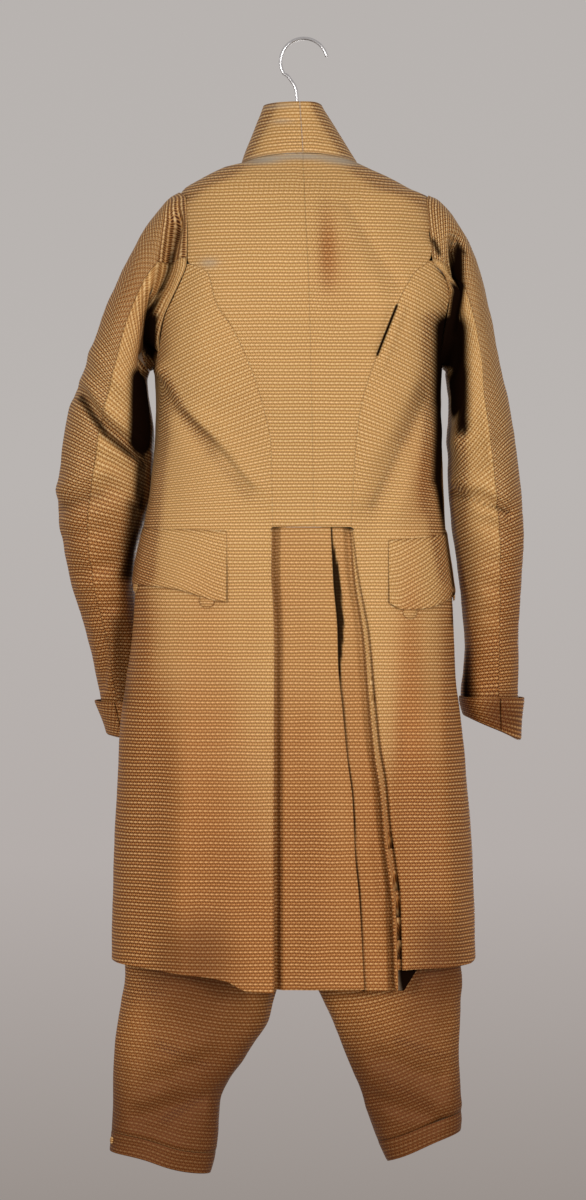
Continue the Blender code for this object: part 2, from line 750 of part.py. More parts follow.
def collar(side):
    """A surface of the share round the neck and of the height, 0 at the neck seam to 100."""

    def surface(share, height):
        foot = neck_point(side, share)
        turn = share * math.pi
        middle = (COLLAR_TOP["left"] + COLLAR_TOP["right"]) / 2
        half = (COLLAR_TOP["right"] - COLLAR_TOP["left"]) / 2
        deep = np.where(turn < math.pi / 2, COLLAR_TOP["back"], COLLAR_TOP["front"])
        x = middle + side * half * np.sin(turn) ** 0.9
        x = x + (COLLAR_SEAM - middle) * np.clip(np.cos(turn), 0, 1) ** 3
        y = -deep * np.cos(turn)
        fore = np.clip(share * 2 - 1, 0, 1) ** 1.5
        down = mix(COLLAR_TOP["down"], COLLAR_TOP["front_down"], fore)
        top = np.stack(np.broadcast_arrays(x, y, -down), -1)
        return mix(foot, top, (height / 100)[..., None])

    return surface


def build_collar(side):
    share = np.concatenate([np.linspace(0, 0.5, 8), np.linspace(0.5, 1, 9)[1:]])
    share[0], share[-1] = 0.004, 0.985
    height = np.linspace(0.7, 100, 4)
    a, b = np.meshgrid(share, height)
    points = collar(side)(a, b)
    along_a = collar(side)(np.clip(a + 1e-3, 0, 1), b) - collar(side)(np.clip(a - 1e-3, 0, 1), b)
    along_b = collar(side)(a, np.clip(b + 1, 0, 100)) - collar(side)(a, np.clip(b - 1, 0, 100))
    normal = side * np.cross(along_a, along_b)
    normal /= np.linalg.norm(normal, axis=-1, keepdims=True)
    cloth(f"coat_collar_{side_name(side)}", points, points - normal * WALL)


def flap_grid(side, share, fall):
    """Angles and depths on the coat at shares along the flap and down it."""
    top, bottom = (curve(FLAP[side], name, share, "share") for name in ("top", "bottom"))
    down = mix(top, bottom, fall)
    rear = torso_angle(FLAP_END[side][0], down, side)
    end = math.radians(FLAP_END[side][1])
    return mix(rear, end, share), down


def build_flap(side):
    """Lies on the front just below the waist and stands off towards its scalloped edge."""
    share, fall = np.meshgrid(np.linspace(0, 1, 15), np.linspace(0, 1, 4))
    angle, down = flap_grid(side, share, fall)
    lift = SEAM + 0.8 + 3.0 * fall**1.5
    cloth_on(f"coat_pocket_flap_{side_name(side)}", torso, angle, down, 1, lift)


def build_button(name, centre, direction, size=BUTTON, rise=0.28, seat=SEAM):
    """A covered button: a low dome, flat behind, at its seat over centre and facing direction."""
    profile = [(1.0, 0.0), (1.0, rise / 3), (0.75, rise * 0.8), (0.35, rise)]
    bm = bmesh.new()
    ring_edges = []
    for share, height in profile:
        made = bmesh.ops.create_circle(bm, segments=10, radius=share * size / 2 * MM, cap_ends=False)
        for vert in made["verts"]:
            vert.co.z = height * size * MM
        ring_edges.append([edge for edge in bm.edges if all(v in made["verts"] for v in edge.verts)])
    for low, high in zip(ring_edges, ring_edges[1:]):
        bmesh.ops.bridge_loops(bm, edges=low + high)
    for edges in (ring_edges[0], ring_edges[-1]):
        bmesh.ops.edgeloop_fill(bm, edges=edges)
    bmesh.ops.recalc_face_normals(bm, faces=bm.faces[:])
    obj = finish(name, bm, SILK_BROWN)
    normal = np.asarray(direction, float)
    turn = Vector(normal).to_track_quat("Z", "Y")
    obj.rotation_mode = "QUATERNION"
    obj.rotation_quaternion = turn
    obj.location = (np.asarray(centre) + normal * seat) * MM
    return obj


def build_flap_buttons(side):
    """Three under each flap's edge, half hidden by its points."""
    for i, share in enumerate((0.12, 0.55, 0.93), 1):
        angle, down = flap_grid(side, np.array(share), np.array(1.0))
        down = down + 5
        point, normal = torso(angle, down), outward(torso, angle, down)
        build_button(f"coat_flap_button_{side_name(side)}_{i}", point, normal, BUTTON, 0.15, 0.9)


def build_front_buttons():
    """On the wearer's right front edge, closer together at the chest."""
    for i in range(9):
        down = np.array(262.0 + i * 38.0)
        x = curve(FRONT_EDGE, "x", down) + 15
        angle = torso_angle(x, down, 1, 1)
        build_button(f"coat_front_button_{i + 1}", torso(angle, down), outward(torso, angle, down))


def leg(side):
    """A surface of the angle round the breeches' leg and of the depth below the hook."""
    rows = LEG[side]

    def surface(angle, down):
        outer, inner, deep, y = (curve(rows, name, down) for name in ("outer", "inner", "deep", "y"))
        split = smooth_step(CROTCH - 90, CROTCH + 12, down)
        # Above the crotch the section is half a ring, which closes to a whole one below it.
        start = (1 - split) * math.pi / 2
        inward = np.cos(start) ** (2 / ROUND)
        half = np.abs(outer - inner) / (1 + inward)
        middle = outer - side * half
        x, ring_y, _, _ = ring(angle, half, deep)
        crease = 2.5 * np.sin(down / 21 + np.cos(angle) * 3) * smooth_step(1150, 1230, down) * np.sin(angle)
        return np.stack(np.broadcast_arrays(middle + x, y + ring_y + crease, -down), -1)

    return surface


def leg_span(side, down, facing):
    """The angles of a leg panel's inner and outer edge at each depth."""
    split = smooth_step(CROTCH - 90, CROTCH + 12, down)
    start = (1 - split) * math.pi / 2
    outer, inner, deep = (curve(LEG[side], name, down) for name in ("outer", "inner", "deep"))
    inward = np.cos(start) ** (2 / ROUND)
    half = np.abs(outer - inner) / (1 + inward)
    edge_y = deep * np.maximum(1 - inward**ROUND, 0) ** (1 / ROUND)
    middle_gap = SEAM / 2 / half
    inner_angle = np.arctan2(edge_y, half * inward - SEAM / 2) + middle_gap
    slit = curve(SLIT, "half_gap", down) if side > 0 else 0 * down
    outer_angle = math.pi - (SEAM / 2 + slit) / half
    if side < 0:
        return facing * inner_angle, facing * outer_angle
    return facing * (math.pi - inner_angle), facing * (math.pi - outer_angle)


def leg_depths(side, share, angle):
    """Depths from below the waistband to the leg's slanting end."""
    outer_end, inner_end = LEG_END[side]
    toward_inner = (1 - side * np.cos(angle)) / 2
    end = mix(outer_end, inner_end, toward_inner)
    return mix(BREECHES_TOP + WAISTBAND, end, share)


LEG_SHARES = np.array([0, 0.1, 0.22, 0.36, 0.48, 0.54, 0.58, 0.62, 0.67, 0.73, 0.79, 0.86, 0.93, 0.96])


def build_leg(side):
    """A back and a front panel between the inside and the outside seam."""
    for name, facing in (("back", -1), ("front", 1)):
        rows = []
        for share in LEG_SHARES:
            angle = np.full(LEG_COLUMNS, facing * math.pi / 2)
            for _ in range(3):
                down = leg_depths(side, share, angle)
                inner, outer = leg_span(side, down, facing)
                angle = mix(inner, outer, np.linspace(0, 1, LEG_COLUMNS))
            down = leg_depths(side, share, angle)
            down[:] = np.maximum(down, BREECHES_TOP + WAISTBAND + SEAM)
            rows.append((angle, down))
        angle, down = (np.array(column) for column in zip(*rows))
        cloth_on(f"breeches_{name}_{side_name(side)}", leg(side), angle, down, 1, 0.0, SILK_BROWN)


def build_waistband(side):
    """From the centre front round the side to the centre back."""
    down = np.array([BREECHES_TOP, BREECHES_TOP + WAISTBAND / 2, BREECHES_TOP + WAISTBAND])
    rows = []
    for at in down:
        back, _ = leg_span(side, np.array([at]), -1)
        front, _ = leg_span(side, np.array([at]), 1)
        start, end = float(front[0]), float(back[0])
        if side < 0:
            end += 2 * math.pi
        rows.append(np.linspace(start, end, 17))
    angle = np.array(rows)
    level = np.repeat(down[:, None], 17, 1)
    cloth_on(f"breeches_waistband_{side_name(side)}", leg(side), angle, level, 1, 0.0, SILK_BROWN)


def build_knee_band(side):
    """Round the leg's end, open at the knee slit on the outside."""
    half_gap = KNEE_GAP[side]
    start = math.pi if side < 0 else 0.0
    angle = np.linspace(start + half_gap, start + 2 * math.pi - half_gap, 19)
    end = leg_depths(side, 1.0, angle)
    from_end = leg_depths(side, LEG_SHARES[-1], angle) + SEAM
    down = np.array([from_end, end])
    angle = np.array([angle, angle])
    cloth_on(f"breeches_knee_band_{side_name(side)}", leg(side), angle, down, 1, 0.0, SILK_BROWN)


def build_knee_buttons():
    """Four on the right leg beside the slit, and one on the left knee band."""
    surface = leg(1)
    for i, down in enumerate((1188.0, 1235.0, 1257.0, 1278.0), 1):
        at = np.array(down)
        angle = leg_span(1, at, 1)[1] + 0.14
        point, normal = surface(angle, at), outward(surface, angle, at)
        build_button(f"breeches_knee_button_right_{i}", point, normal, KNEE_BUTTON, 0.28, -0.8)
    surface, at, angle = leg(-1), np.array(1318.0), np.array(-math.pi + 0.25)
    point, normal = surface(angle, at), outward(surface, angle, at)
    build_button("breeches_knee_button_left", point, normal, KNEE_BUTTON, 0.28, -0.6)


def wire(name, points, thick, colour, roughness, metallic):
    """A round wire or rod along points in millimetres."""
    data = bpy.data.curves.new(name, "CURVE")
    data.dimensions = "3D"
    data.bevel_depth = thick / 2 * MM
    data.bevel_resolution = 2
    data.use_fill_caps = True
    spline = data.splines.new("POLY")
    spline.points.add(len(points) - 1)
    for point, place in zip(spline.points, points):
        point.co = (place[0] * MM, place[1] * MM, place[2] * MM, 1)
    data.materials.append(material(name, colour, roughness, metallic))
    obj = bpy.data.objects.new(name, data)
    parts.objects.link(obj)
    return obj


def build_hanger():
    """Hook, shoulder bar, drop wire and clips. The hook's inner top is the origin."""
    seat = HOOK_RADIUS - WIRE / 2
    points = []
    for step in range(19):
        turn = math.radians(12 + step * 11)
        points.append((HOOK_RADIUS * math.cos(turn), 0, -seat + HOOK_RADIUS * math.sin(turn)))
    for x, down in ((-19.5, 43), (-15, 49), (-11, 55), (SHANK_X - 0.6, 62), (SHANK_X, 72), (SHANK_X, 120)):
        points.append((x, 0, -down))
    points.append((SHANK_X, 0, -(shoulder_down(SHANK_X) + BAR_DROP - SEAM)))
    wire("hanger_hook", points, WIRE, STEEL, 0.2, 1.0)

    # The bar follows the shoulder seams a wall's thickness below them.
    bar = []
    for x in np.linspace(-130, 129, 24):
        level = shoulder_down(x)
        bar.append((x, 0, -(level + BAR_DROP + BAR_WIDE / 2)))
    wire("hanger_bar", bar, BAR_WIDE, WOOD, 0.5, 0.0)

    # The drop wire hangs from the bar and runs level through both clips.
    left, right = CLIP_X[0] - WIRE_OUT, CLIP_X[1] + WIRE_OUT
    level = BREECHES_TOP - CLIP_SIZE[1] - 2 * SEAM - WIRE / 2
    bend = ((0, 8), (3, 2), (9, 0))  # round each lower corner: inward and up
    drop = [(left, 0, -(shoulder_down(left) + BAR_DROP + BAR_WIDE + WIRE / 2))]
    drop += [(left + x, 0, up - level) for x, up in bend]
    drop += [(right - x, 0, up - level) for x, up in reversed(bend)]
    drop += [(right, 0, -(shoulder_down(right) + BAR_DROP + BAR_WIDE + WIRE / 2))]
    wire("hanger_drop_wire", drop, WIRE, STEEL, 0.2, 1.0)
    for side, x in zip((-1, 1), CLIP_X):
        build_clip(side, x, level + WIRE / 2 + SEAM)


def shoulder_down(x):
    """The depth of the shoulder ridge at x, level across the neck."""
    downs = np.linspace(NECK_SIDE, SHOULDER, 60)
    edge = curve(TORSO, "left" if x < SHANK_X else "right", downs)
    return float(np.interp(abs(x), np.abs(edge), downs))


def build_clip(side, x, top):
    """A folded clip: a bridge with two jaws that grip the waistband's top edge."""
    width, thick, tall = CLIP_SIZE
    gap = float(curve(LEG[side], "deep", top + tall)) + SEAM
    outside, inside = gap + thick, -top - thick
    low, high = -top - tall, -top
    outline = [(-outside, low), (-outside, high), (outside, high), (outside, low)]
    outline += [(gap, low), (gap, inside), (-gap, inside), (-gap, low)]
    bm = bmesh.new()
    end = bm.faces.new([bm.verts.new(((x - width / 2) * MM, y * MM, z * MM)) for y, z in outline])
    made = bmesh.ops.extrude_face_region(bm, geom=[end], use_keep_orig=True)
    for vert in made["geom"]:
        if isinstance(vert, bmesh.types.BMVert):
            vert.co.x += width * MM
    bmesh.ops.recalc_face_normals(bm, faces=bm.faces[:])
    return finish(f"hanger_clip_{side_name(side)}", bm, STEEL, 0.25, 1.0)


def main():
    clear_scene()
    for side in (-1, 1):
        build_back(side)
        build_front(side)
        build_back_skirt(side)
        build_sleeve(side)
        build_cuff(side)
        build_collar(side)
        build_flap(side)
        build_flap_buttons(side)
        build_leg(side)
        build_waistband(side)
        build_knee_band(side)
    build_front_buttons()
    build_knee_buttons()
    build_hanger()


main()
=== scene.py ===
# %% [markdown]
# A silk suit of about 1780 to 1795, dressed on its solids.
# The real suit is a coat and knee breeches of changeable figured silk, worn soft by two centuries,
# hung from a wire hook and seen from behind. The solids from the CAD give every panel's place. This
# script puts a thin shell of cloth with creases, seams and weave on each of them.

import math

import bmesh
import bpy
import numpy as np
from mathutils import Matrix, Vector, noise


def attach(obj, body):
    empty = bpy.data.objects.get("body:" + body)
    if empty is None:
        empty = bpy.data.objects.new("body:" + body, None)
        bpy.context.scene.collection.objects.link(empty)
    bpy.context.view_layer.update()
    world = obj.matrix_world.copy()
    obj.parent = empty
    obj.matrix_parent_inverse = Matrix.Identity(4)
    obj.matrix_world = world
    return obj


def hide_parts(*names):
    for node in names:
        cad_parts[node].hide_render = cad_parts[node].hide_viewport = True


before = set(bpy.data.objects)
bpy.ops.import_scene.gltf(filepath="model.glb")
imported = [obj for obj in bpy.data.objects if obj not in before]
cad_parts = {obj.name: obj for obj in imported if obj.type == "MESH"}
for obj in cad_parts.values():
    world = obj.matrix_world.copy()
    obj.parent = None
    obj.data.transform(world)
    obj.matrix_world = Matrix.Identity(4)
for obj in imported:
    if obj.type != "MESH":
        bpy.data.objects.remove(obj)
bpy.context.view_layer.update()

# %% [markdown]
# Sizes. Cloth is cut from sizes, so the shells are too: the same tables of sections that shaped the
# solids are read here on a finer grid. Everything is in millimetres, with down as the depth below
# the hook's seat, and becomes metres only when a mesh is made. A smooth curve runs through each
# table and never overshoots it, as a tailor's curve would.

# %% Sizes and curves
MM = 0.001
THICK = 1.2  # the shell of silk and its interlining
ROUND = 2.5  # power of the rounded sections
SLEEVE_ROUND = 2.2
PITCH = 4.0  # spacing of the cloth's grid
FINE_PITCH = 3.6  # the same on the sleeves and the collar
SEAM_FALL = 0.35  # how far a sewn edge turns in


def table(names, *rows):
    """Rows of numbers as columns with names."""
    return dict(zip(names.split(), np.array(rows, float).T))


def curve(rows, column, at, key="down"):
    """A column read off at values of the key column, on a smooth curve."""
    x, y = rows[key], rows[column]
    steps = np.diff(x)
    rise = np.diff(y) / steps
    slope = np.concatenate([rise[:1], np.zeros(len(x) - 2), rise[-1:]])
    both = rise[:-1] * rise[1:]
    slope[1:-1] = np.where(both > 0, 2 * both / np.where(both > 0, rise[:-1] + rise[1:], 1), 0)
    at = np.asarray(at, float)
    i = np.clip(np.searchsorted(x, at) - 1, 0, len(x) - 2)
    t = np.clip((at - x[i]) / steps[i], 0, 1)
    keep = (1 + 2 * t) * (1 - t) ** 2 * y[i] + t**2 * (3 - 2 * t) * y[i + 1]
    return keep + steps[i] * (t * (1 - t) ** 2 * slope[i] - t**2 * (1 - t) * slope[i + 1])


def smooth_step(low, high, at):
    """0 at low, 1 at high and smooth between them, also where low is the larger."""
    t = np.clip((np.asarray(at, float) - low) / (high - low), 0, 1)
    return t * t * (3 - 2 * t)


def mix(a, b, share):
    return a + (b - a) * share


def spread(start, end, share):
    """A grid whose rows run from start to end in the shares given."""
    start, end = np.asarray(start, float)[:, None], np.asarray(end, float)[:, None]
    return mix(start, end, share)


def side_name(side):
    return "left" if side < 0 else "right"


print("a curve through two points reads", float(curve(table("down x", (0, 0), (10, 5)), "x", 4)))

# %% [markdown]
# The coat's body is a stack of rounded sections. Its largest folds, which the solids have too, are
# soft ridges and troughs along short lines on the back (side -1) or the front (side 1).

# %% The coat's sections
TORSO = table(
    "down left right back front",
    (131, -60, 52, 50, 5),
    (147, -72, 62, 57, 10),
    (150, -76, 66, 59, 14),
    (156, -99, 80, 63, 24),
    (168, -125, 106, 71, 38),
    (180, -144, 127, 78, 48),
    (192, -151, 150, 84, 57),
    (215, -157, 158, 91, 66),
    (240, -163, 166, 96, 75),
    (280, -170, 181, 101, 84),
    (310, -175, 184, 102, 88),
    (350, -178, 175, 101, 90),
    (391, -179, 167, 98, 90),
    (448, -178, 165, 92, 88),
    (532, -184, 167, 83, 85),
    (586, -192, 170, 80, 84),
    (641, -201, 176, 86, 85),
    (701, -205, 180, 91, 86),
    (760, -212, 182, 95, 88),
    (826, -220, 189, 98, 90),
    (912, -224, 197, 101, 93),
    (1000, -228, 203, 104, 96),
    (1068, -230, 206, 106, 98),
    (1145, -230, 206, 108, 99),
)
FOLDS = table(
    "x0 down0 x1 down1 wide height side",
    (-172, 396, -146, 443, 9, 4, -1),
    (-146, 443, -104, 478, 10, 6, -1),
    (-104, 478, -58, 535, 12, 4, -1),
    (-164, 425, -118, 492, 14, -5, -1),
    (146, 425, 116, 484, 15, -5, -1),
    (116, 484, 74, 575, 17, -5, -1),
    (150, 470, 112, 560, 20, 4, -1),
    (-136, 700, -140, 1130, 20, 6, -1),
    (-176, 730, -190, 1130, 26, -5, -1),
    (-80, 720, -84, 1130, 26, 3, -1),
    (104, 700, 134, 1110, 18, -4, -1),
    (160, 690, 168, 1110, 22, 4, -1),
    (-60, 215, -48, 300, 22, -3, -1),
    (60, 190, 100, 300, 14, -3, -1),
    (-150, 420, -90, 520, 14, 5, 1),
    (150, 430, 96, 530, 14, 5, 1),
    (-150, 760, -156, 1080, 24, 6, 1),
    (-108, 760, -122, 1080, 22, -5, 1),
    (140, 760, 150, 1080, 24, 6, 1),
    (104, 760, 116, 1080, 22, -5, 1),
)


LONG_FOLD = 300.0  # a fold that falls further than this fades in over its upper half
SIDE_FADE = 25.0  # the depth over which a crease of one side fades in


def crease_height(rows, x, y, down, middle=0.0):
    """How far a table's creases push the cloth out, on the side of middle that each lies on."""
    ridges = troughs = np.zeros(np.broadcast(x, y, down).shape)
    for x0, down0, x1, down1, wide, rise, side in zip(*rows.values()):
        run, fall = x1 - x0, down1 - down0
        near = np.clip(((x - x0) * run + (down - down0) * fall) / (run**2 + fall**2), 0, 1)
        away = np.hypot(x - mix(x0, x1, near), down - mix(down0, down1, near))
        facing = smooth_step(0, SIDE_FADE, (y - middle) * side) if side else 1.0
        push = rise * np.exp(-((away / wide) ** 2)) * facing
        if fall > LONG_FOLD:
            push = push * smooth_step(0, 0.5, near)
        ridges, troughs = np.maximum(ridges, push), np.minimum(troughs, push)
    return ridges + troughs


def creases(rows, points, middle=0.0):
    """The same at points of the suit."""
    return crease_height(rows, points[..., 0], points[..., 1], -points[..., 2], middle)


print("the coat has", len(TORSO["down"]), "sections and", len(FOLDS["x0"]), "large folds")

# %% [markdown]
# Painted shade. Changeable silk shows its brown weft where it turns away, and hardly
# any light reaches the bottom of a deep fold. A light alone gives that only to cloth that hangs just
# as the real cloth does. So two tables paint it along short lines, as a painter glazes a shadow:
# hollow is for the painted dark and turned is for the painted brown. Each shell carries both on its
# vertices, and the finishes read them.

# %% Hollows and turned cloth
# Painted shade, near black: deep folds, the slots beside the sleeves and a split in a seam.
HOLLOW_SHADE = table(
    "x0 down0 x1 down1 wide amount side",
    (-157, 262, -166, 305, 4, 0.25, -1),
    (-169, 305, -179, 335, 4, 0.5, -1),
    (-181, 335, -185, 396, 7, 1.6, -1),
    (-191, 410, -194, 485, 13, 1.7, -1),
    (-192, 490, -197, 560, 9, 0.9, -1),
    (-202, 560, -212, 640, 12, 0.8, -1),
    (-224, 700, -218, 790, 14, 0.5, -1),
    (-266, 431, -236, 474, 6, 0.8, -1),
    (-236, 474, -205, 500, 6, 0.7, -1),
    (-290, 560, -240, 545, 8, 0.35, -1),
    (183, 256, 184, 300, 7, 1.0, -1),
    (184, 300, 176, 350, 7, 1.4, -1),
    (174, 352, 174, 436, 18, 1.8, -1),
    (188, 400, 188, 470, 9, 1.0, -1),
    (163, 445, 160, 530, 9, 1.0, -1),
    (160, 530, 172, 590, 7, 1.0, -1),
    (172, 590, 181, 655, 5, 1.0, -1),
    (180, 665, 181, 700, 5, 0.9, -1),
    (190, 735, 197, 800, 10, 0.9, -1),
    (109, 326, 86, 384, 2.0, 1.0, -1),
    (153, 245, 160, 262, 4, 0.8, -1),
    (178, 244, 190, 262, 4, 0.8, -1),
    (174, 543, 244, 567, 3, 0.6, -1),
    (46, 204, 108, 304, 5, 0.2, -1),
    (143, 429, 115, 484, 8, 0.35, -1),
    (115, 484, 80, 560, 7, 0.35, -1),
    (-147, 446, -111, 479, 4, 0.3, -1),
    (-111, 479, -60, 540, 4, 0.35, -1),
)

# Painted brown and shade where the cloth turns from the light: the flanks, the lower sides of folds and the
# browner ends of the sleeves and legs.
TURNED_SHADE = table(
    "x0 down0 x1 down1 wide amount side",
    (-190, 640, -196, 1130, 28, 0.85, 0),
    (-176, 680, -180, 1130, 24, 0.9, -1),
    (-172, 440, -186, 640, 12, 1.0, 0),
    (-166, 402, -140, 455, 7, 0.6, -1),
    (-140, 460, -66, 550, 9, 0.5, -1),
    (152, 345, 152, 560, 14, 1.0, 0),
    (152, 560, 170, 640, 10, 0.9, 0),
    (146, 425, 116, 484, 14, 0.55, -1),
    (116, 484, 80, 570, 13, 0.45, -1),
    (182, 640, 194, 1110, 20, 1.0, 0),
    (108, 690, 126, 1110, 9, 0.5, -1),
    (140, 900, 150, 1110, 60, 0.55, -1),
    (-100, 1000, -100, 1130, 90, 0.4, -1),
    (25, 205, 27, 300, 15, 0.42, -1),
    (46, 204, 108, 304, 12, 0.3, -1),
    (70, 162, 140, 192, 12, 0.9, -1),
    (-84, 160, -140, 188, 9, 0.8, -1),
    (-188, 340, -184, 470, 9, 0.8, 0),
    (183, 470, 184, 740, 8, 1.0, 0),
    (-250, 560, -236, 700, 45, 0.5, 0),
    (-230, 700, -225, 860, 45, 0.9, 0),
    (240, 640, 235, 700, 40, 0.3, 0),
    (232, 740, 232, 860, 40, 0.7, 0),
    (-270, 425, -200, 500, 12, 0.8, -1),
    (0, 1180, 0, 1400, 400, 0.35, 0),
    (-172, 1200, -120, 1225, 9, 0.8, -1),
    (-165, 1290, -120, 1262, 8, 0.8, -1),
    (165, 1215, 110, 1195, 9, 0.8, -1),
    (150, 1275, 100, 1245, 8, 0.8, -1),
    (0, 950, 0, 1140, 60, 0.45, -1),
    (80, 760, 96, 1140, 14, 0.4, -1),
    (-38, 82, -72, 140, 7, 0.8, 0),
    (14, 82, 52, 140, 8, 0.9, 0),
    (-30, 128, 20, 128, 6, 0.4, -1),
)

print("shade lies along", len(HOLLOW_SHADE["x0"]), "dark and", len(TURNED_SHADE["x0"]), "brown lines")

# %% [markdown]
# The coat's surface. A point of the coat is found from its angle round the section and its depth, and
# pushed out by the folds. The fine drag creases, which the solids don't have, are a table of the same
# kind, and the other parts of the suit have theirs further on.

# %% The coat's surface
BODY_CREASES = table(
    "x0 down0 x1 down1 wide height side",
    (-174, 397, -147, 441, 5, 2.2, -1),
    (-147, 441, -111, 474, 5, 2.6, -1),
    (-111, 474, -88, 497, 5, 2.4, -1),
    (-88, 497, -60, 532, 5, 1.8, -1),
    (-170, 412, -132, 464, 8, -2.6, -1),
    (-132, 464, -84, 512, 8, -2.2, -1),
    (143, 429, 115, 484, 8, -2.4, -1),
    (115, 484, 95, 523, 9, -2.2, -1),
    (95, 523, 76, 571, 9, -1.6, -1),
    (46, 204, 108, 304, 10, -1.6, -1),
    (60, 200, 120, 300, 7, 1.0, -1),
    (26, 215, 28, 300, 7, -1.2, -1),
    (44, 210, 46, 310, 8, 0.8, -1),
    (106, 322, 84, 386, 3, -1.6, -1),
    (116, 330, 92, 396, 5, 1.2, -1),
    (131, 226, 155, 242, 4, -1.6, -1),
    (151, 269, 169, 288, 4, -1.8, -1),
    (140, 246, 152, 258, 5, 1.6, -1),
    (152, 300, 168, 322, 4, -1.4, -1),
    (-96, 640, -92, 700, 9, -1.2, -1),
    (-60, 620, -58, 700, 9, -1.0, -1),
    (70, 610, 78, 700, 9, -1.2, -1),
)


def ring(angle, half, deep):
    """A point of a rounded section, and the direction outwards there."""
    c, s = np.cos(angle), np.sin(angle)
    reach = ((np.abs(c) / half) ** ROUND + (np.abs(s) / deep) ** ROUND) ** (-1 / ROUND)
    x, y = reach * c, reach * s
    out_x = np.sign(c) * (np.abs(x) / half) ** (ROUND - 1) / half
    out_y = np.sign(s) * (np.abs(y) / deep) ** (ROUND - 1) / deep
    length = np.hypot(out_x, out_y)
    return x, y, out_x / length, out_y / length


def torso(angle, down):
    """A point of the coat."""
    left, right, back, front = (curve(TORSO, name, down) for name in ("left", "right", "back", "front"))
    middle, half = (left + right) / 2, (right - left) / 2
    x, y, out_x, out_y = ring(angle, half, np.where(np.sin(angle) < 0, back, front))
    push = crease_height(FOLDS, middle + x, y, down)
    return np.stack(np.broadcast_arrays(middle + x + push * out_x, y + push * out_y, -down), -1)


def torso_angle(x, down, side, facing=-1):
    """The angle of the coat's point at x, on its back (facing -1) or its front (facing 1)."""
    left, right, back, front = (curve(TORSO, name, down) for name in ("left", "right", "back", "front"))
    middle, half = (left + right) / 2, (right - left) / 2
    share = np.clip((x - middle) / half, -0.9999, 0.9999)
    deep = np.where(facing < 0, back, front)
    angle = np.arctan2(facing * deep * (1 - np.abs(share) ** ROUND) ** (1 / ROUND), share * half)
    return angle - 2 * math.pi if side < 0 and facing > 0 else angle


def outward(surface, a, b, sign=1):
    """Unit normals of a surface, from its points close by."""
    along_a = surface(a + 1e-3, b) - surface(a - 1e-3, b)
    along_b = surface(a, b + 0.5) - surface(a, b - 0.5)
    normal = sign * np.cross(along_b, along_a)
    return normal / np.linalg.norm(normal, axis=-1, keepdims=True)


CHEST = torso(np.linspace(0, 2 * math.pi, 90), np.full(90, 391.0))
print("the coat is", float(np.ptp(CHEST[:, 0])), "mm wide at the chest")

# %% [markdown]
# A shell of cloth. A grid operator makes the faces, each vertex goes to its point on the panel, and
# a Solidify modifier gives the wall, with the lining's material on its inner side. Two things make
# it read as sewn cloth: sewn edges turn in, and the whole surface is a little uneven. The UV map
# holds real metres along the weave, so one material fits every panel.

# %% Making a shell
SEAM_FLAT = 14.0  # a shell is less uneven this near to a sewn edge
SEAM_ROLL = 2.6  # the width over which a sewn edge turns in
# Painted shade: deep troughs add to the hollow mark, as little light reaches them.
CREASE_SHADE = (9.0, 34.0)  # a crease is dark from the first depth, and darkest at the second
# Painted brown and shade: cloth whose normal turns sideways counts as turned, as a flank turned from the
# light looks.
FLANK = (0.94, 0.5)  # y of the normal, from cloth that faces back or front to a full flank
FLANK_SHADE = 0.55
# Patches browner (or, under 0, yellower) than the rest, and worn grey ones. Side -1 is the back.
# Tone is partly the silk's own, as beside the centre back seam, and partly painted shade: the browner patches
# on the sleeves, cuffs, skirts and legs darken them where shade falls.
TONE_AND_SHADE = table(
    "x down side wide high amount",
    (0, 1100, 0, 500, 300, 0.45),
    (36, 280, -1, 26, 60, 0.35),
    (27, 255, -1, 11, 40, 0.35),
    (-60, 250, -1, 60, 110, -0.2),
    (0, 1330, 0, 500, 165, 1.75),
    (-120, 880, -1, 90, 240, 0.5),
    (140, 930, -1, 60, 220, 0.4),
    (235, 812, 0, 42, 45, 1.4),
    (124, 800, -1, 18, 200, 0.5),
    (168, 1080, -1, 58, 90, 1.0),
    (-130, 1090, -1, 90, 90, 0.9),
    (140, 520, -1, 22, 60, 0.35),
    (0, 95, 0, 90, 38, -0.4),
    (-260, 720, 0, 70, 190, 0.75),
    (-215, 850, 0, 60, 60, 0.4),
    (250, 740, 0, 70, 170, 0.6),
    (-200, 330, 0, 40, 120, 0.3),
)
WORN = table(
    "x down side wide high amount",
    (0, 146, -1, 40, 5, 1.0),
    (-48, 151, -1, 26, 6, 1.0),
    (44, 152, -1, 26, 6, 1.0),
    (-28, 84, -1, 26, 4, 0.6),
    (-26, 103, -1, 16, 4, 0.6),
    (-112, 275, -1, 14, 7, 0.7),
)


# Broad, middle and small waves: how many to a metre across and down, their shift and their height.
WAVES = table(
    "across down shift_x shift_y height",
    (15, 9, 0, 0, 1.7),
    (48, 30, 7, 0, 0.7),
    (95, 70, 0, 3, 0.22),
)


def unevenness(points, strength):
    """A soft waviness of hand-sewn cloth, the same in every run."""
    flat = points.reshape(-1, 3) * MM
    lift = np.zeros(len(flat))
    for across, down, shift_x, shift_y, height in zip(*WAVES.values()):
        places = flat * (across, across, down) + (shift_x, shift_y, 0)
        lift = lift + np.array([noise.noise(Vector(place)) for place in places]) * height
    return lift.reshape(points.shape[:2]) * strength


def patches(rows, points):
    """The strength of soft patches on the cloth, which the materials read."""
    total = np.zeros(points.shape[:2])
    for x, down, side, wide, high, amount in zip(*rows.values()):
        away = ((points[..., 0] - x) / wide) ** 2 + ((-points[..., 2] - down) / high) ** 2
        facing = 1 if side == 0 else smooth_step(-10, 20, points[..., 1] * side)
        total = total + amount * np.exp(-away) * facing
    return total


def along_rows(points):
    step = np.linalg.norm(np.diff(points, axis=1), axis=-1)
    return np.concatenate([np.zeros((len(points), 1)), np.cumsum(step, 1)], 1)


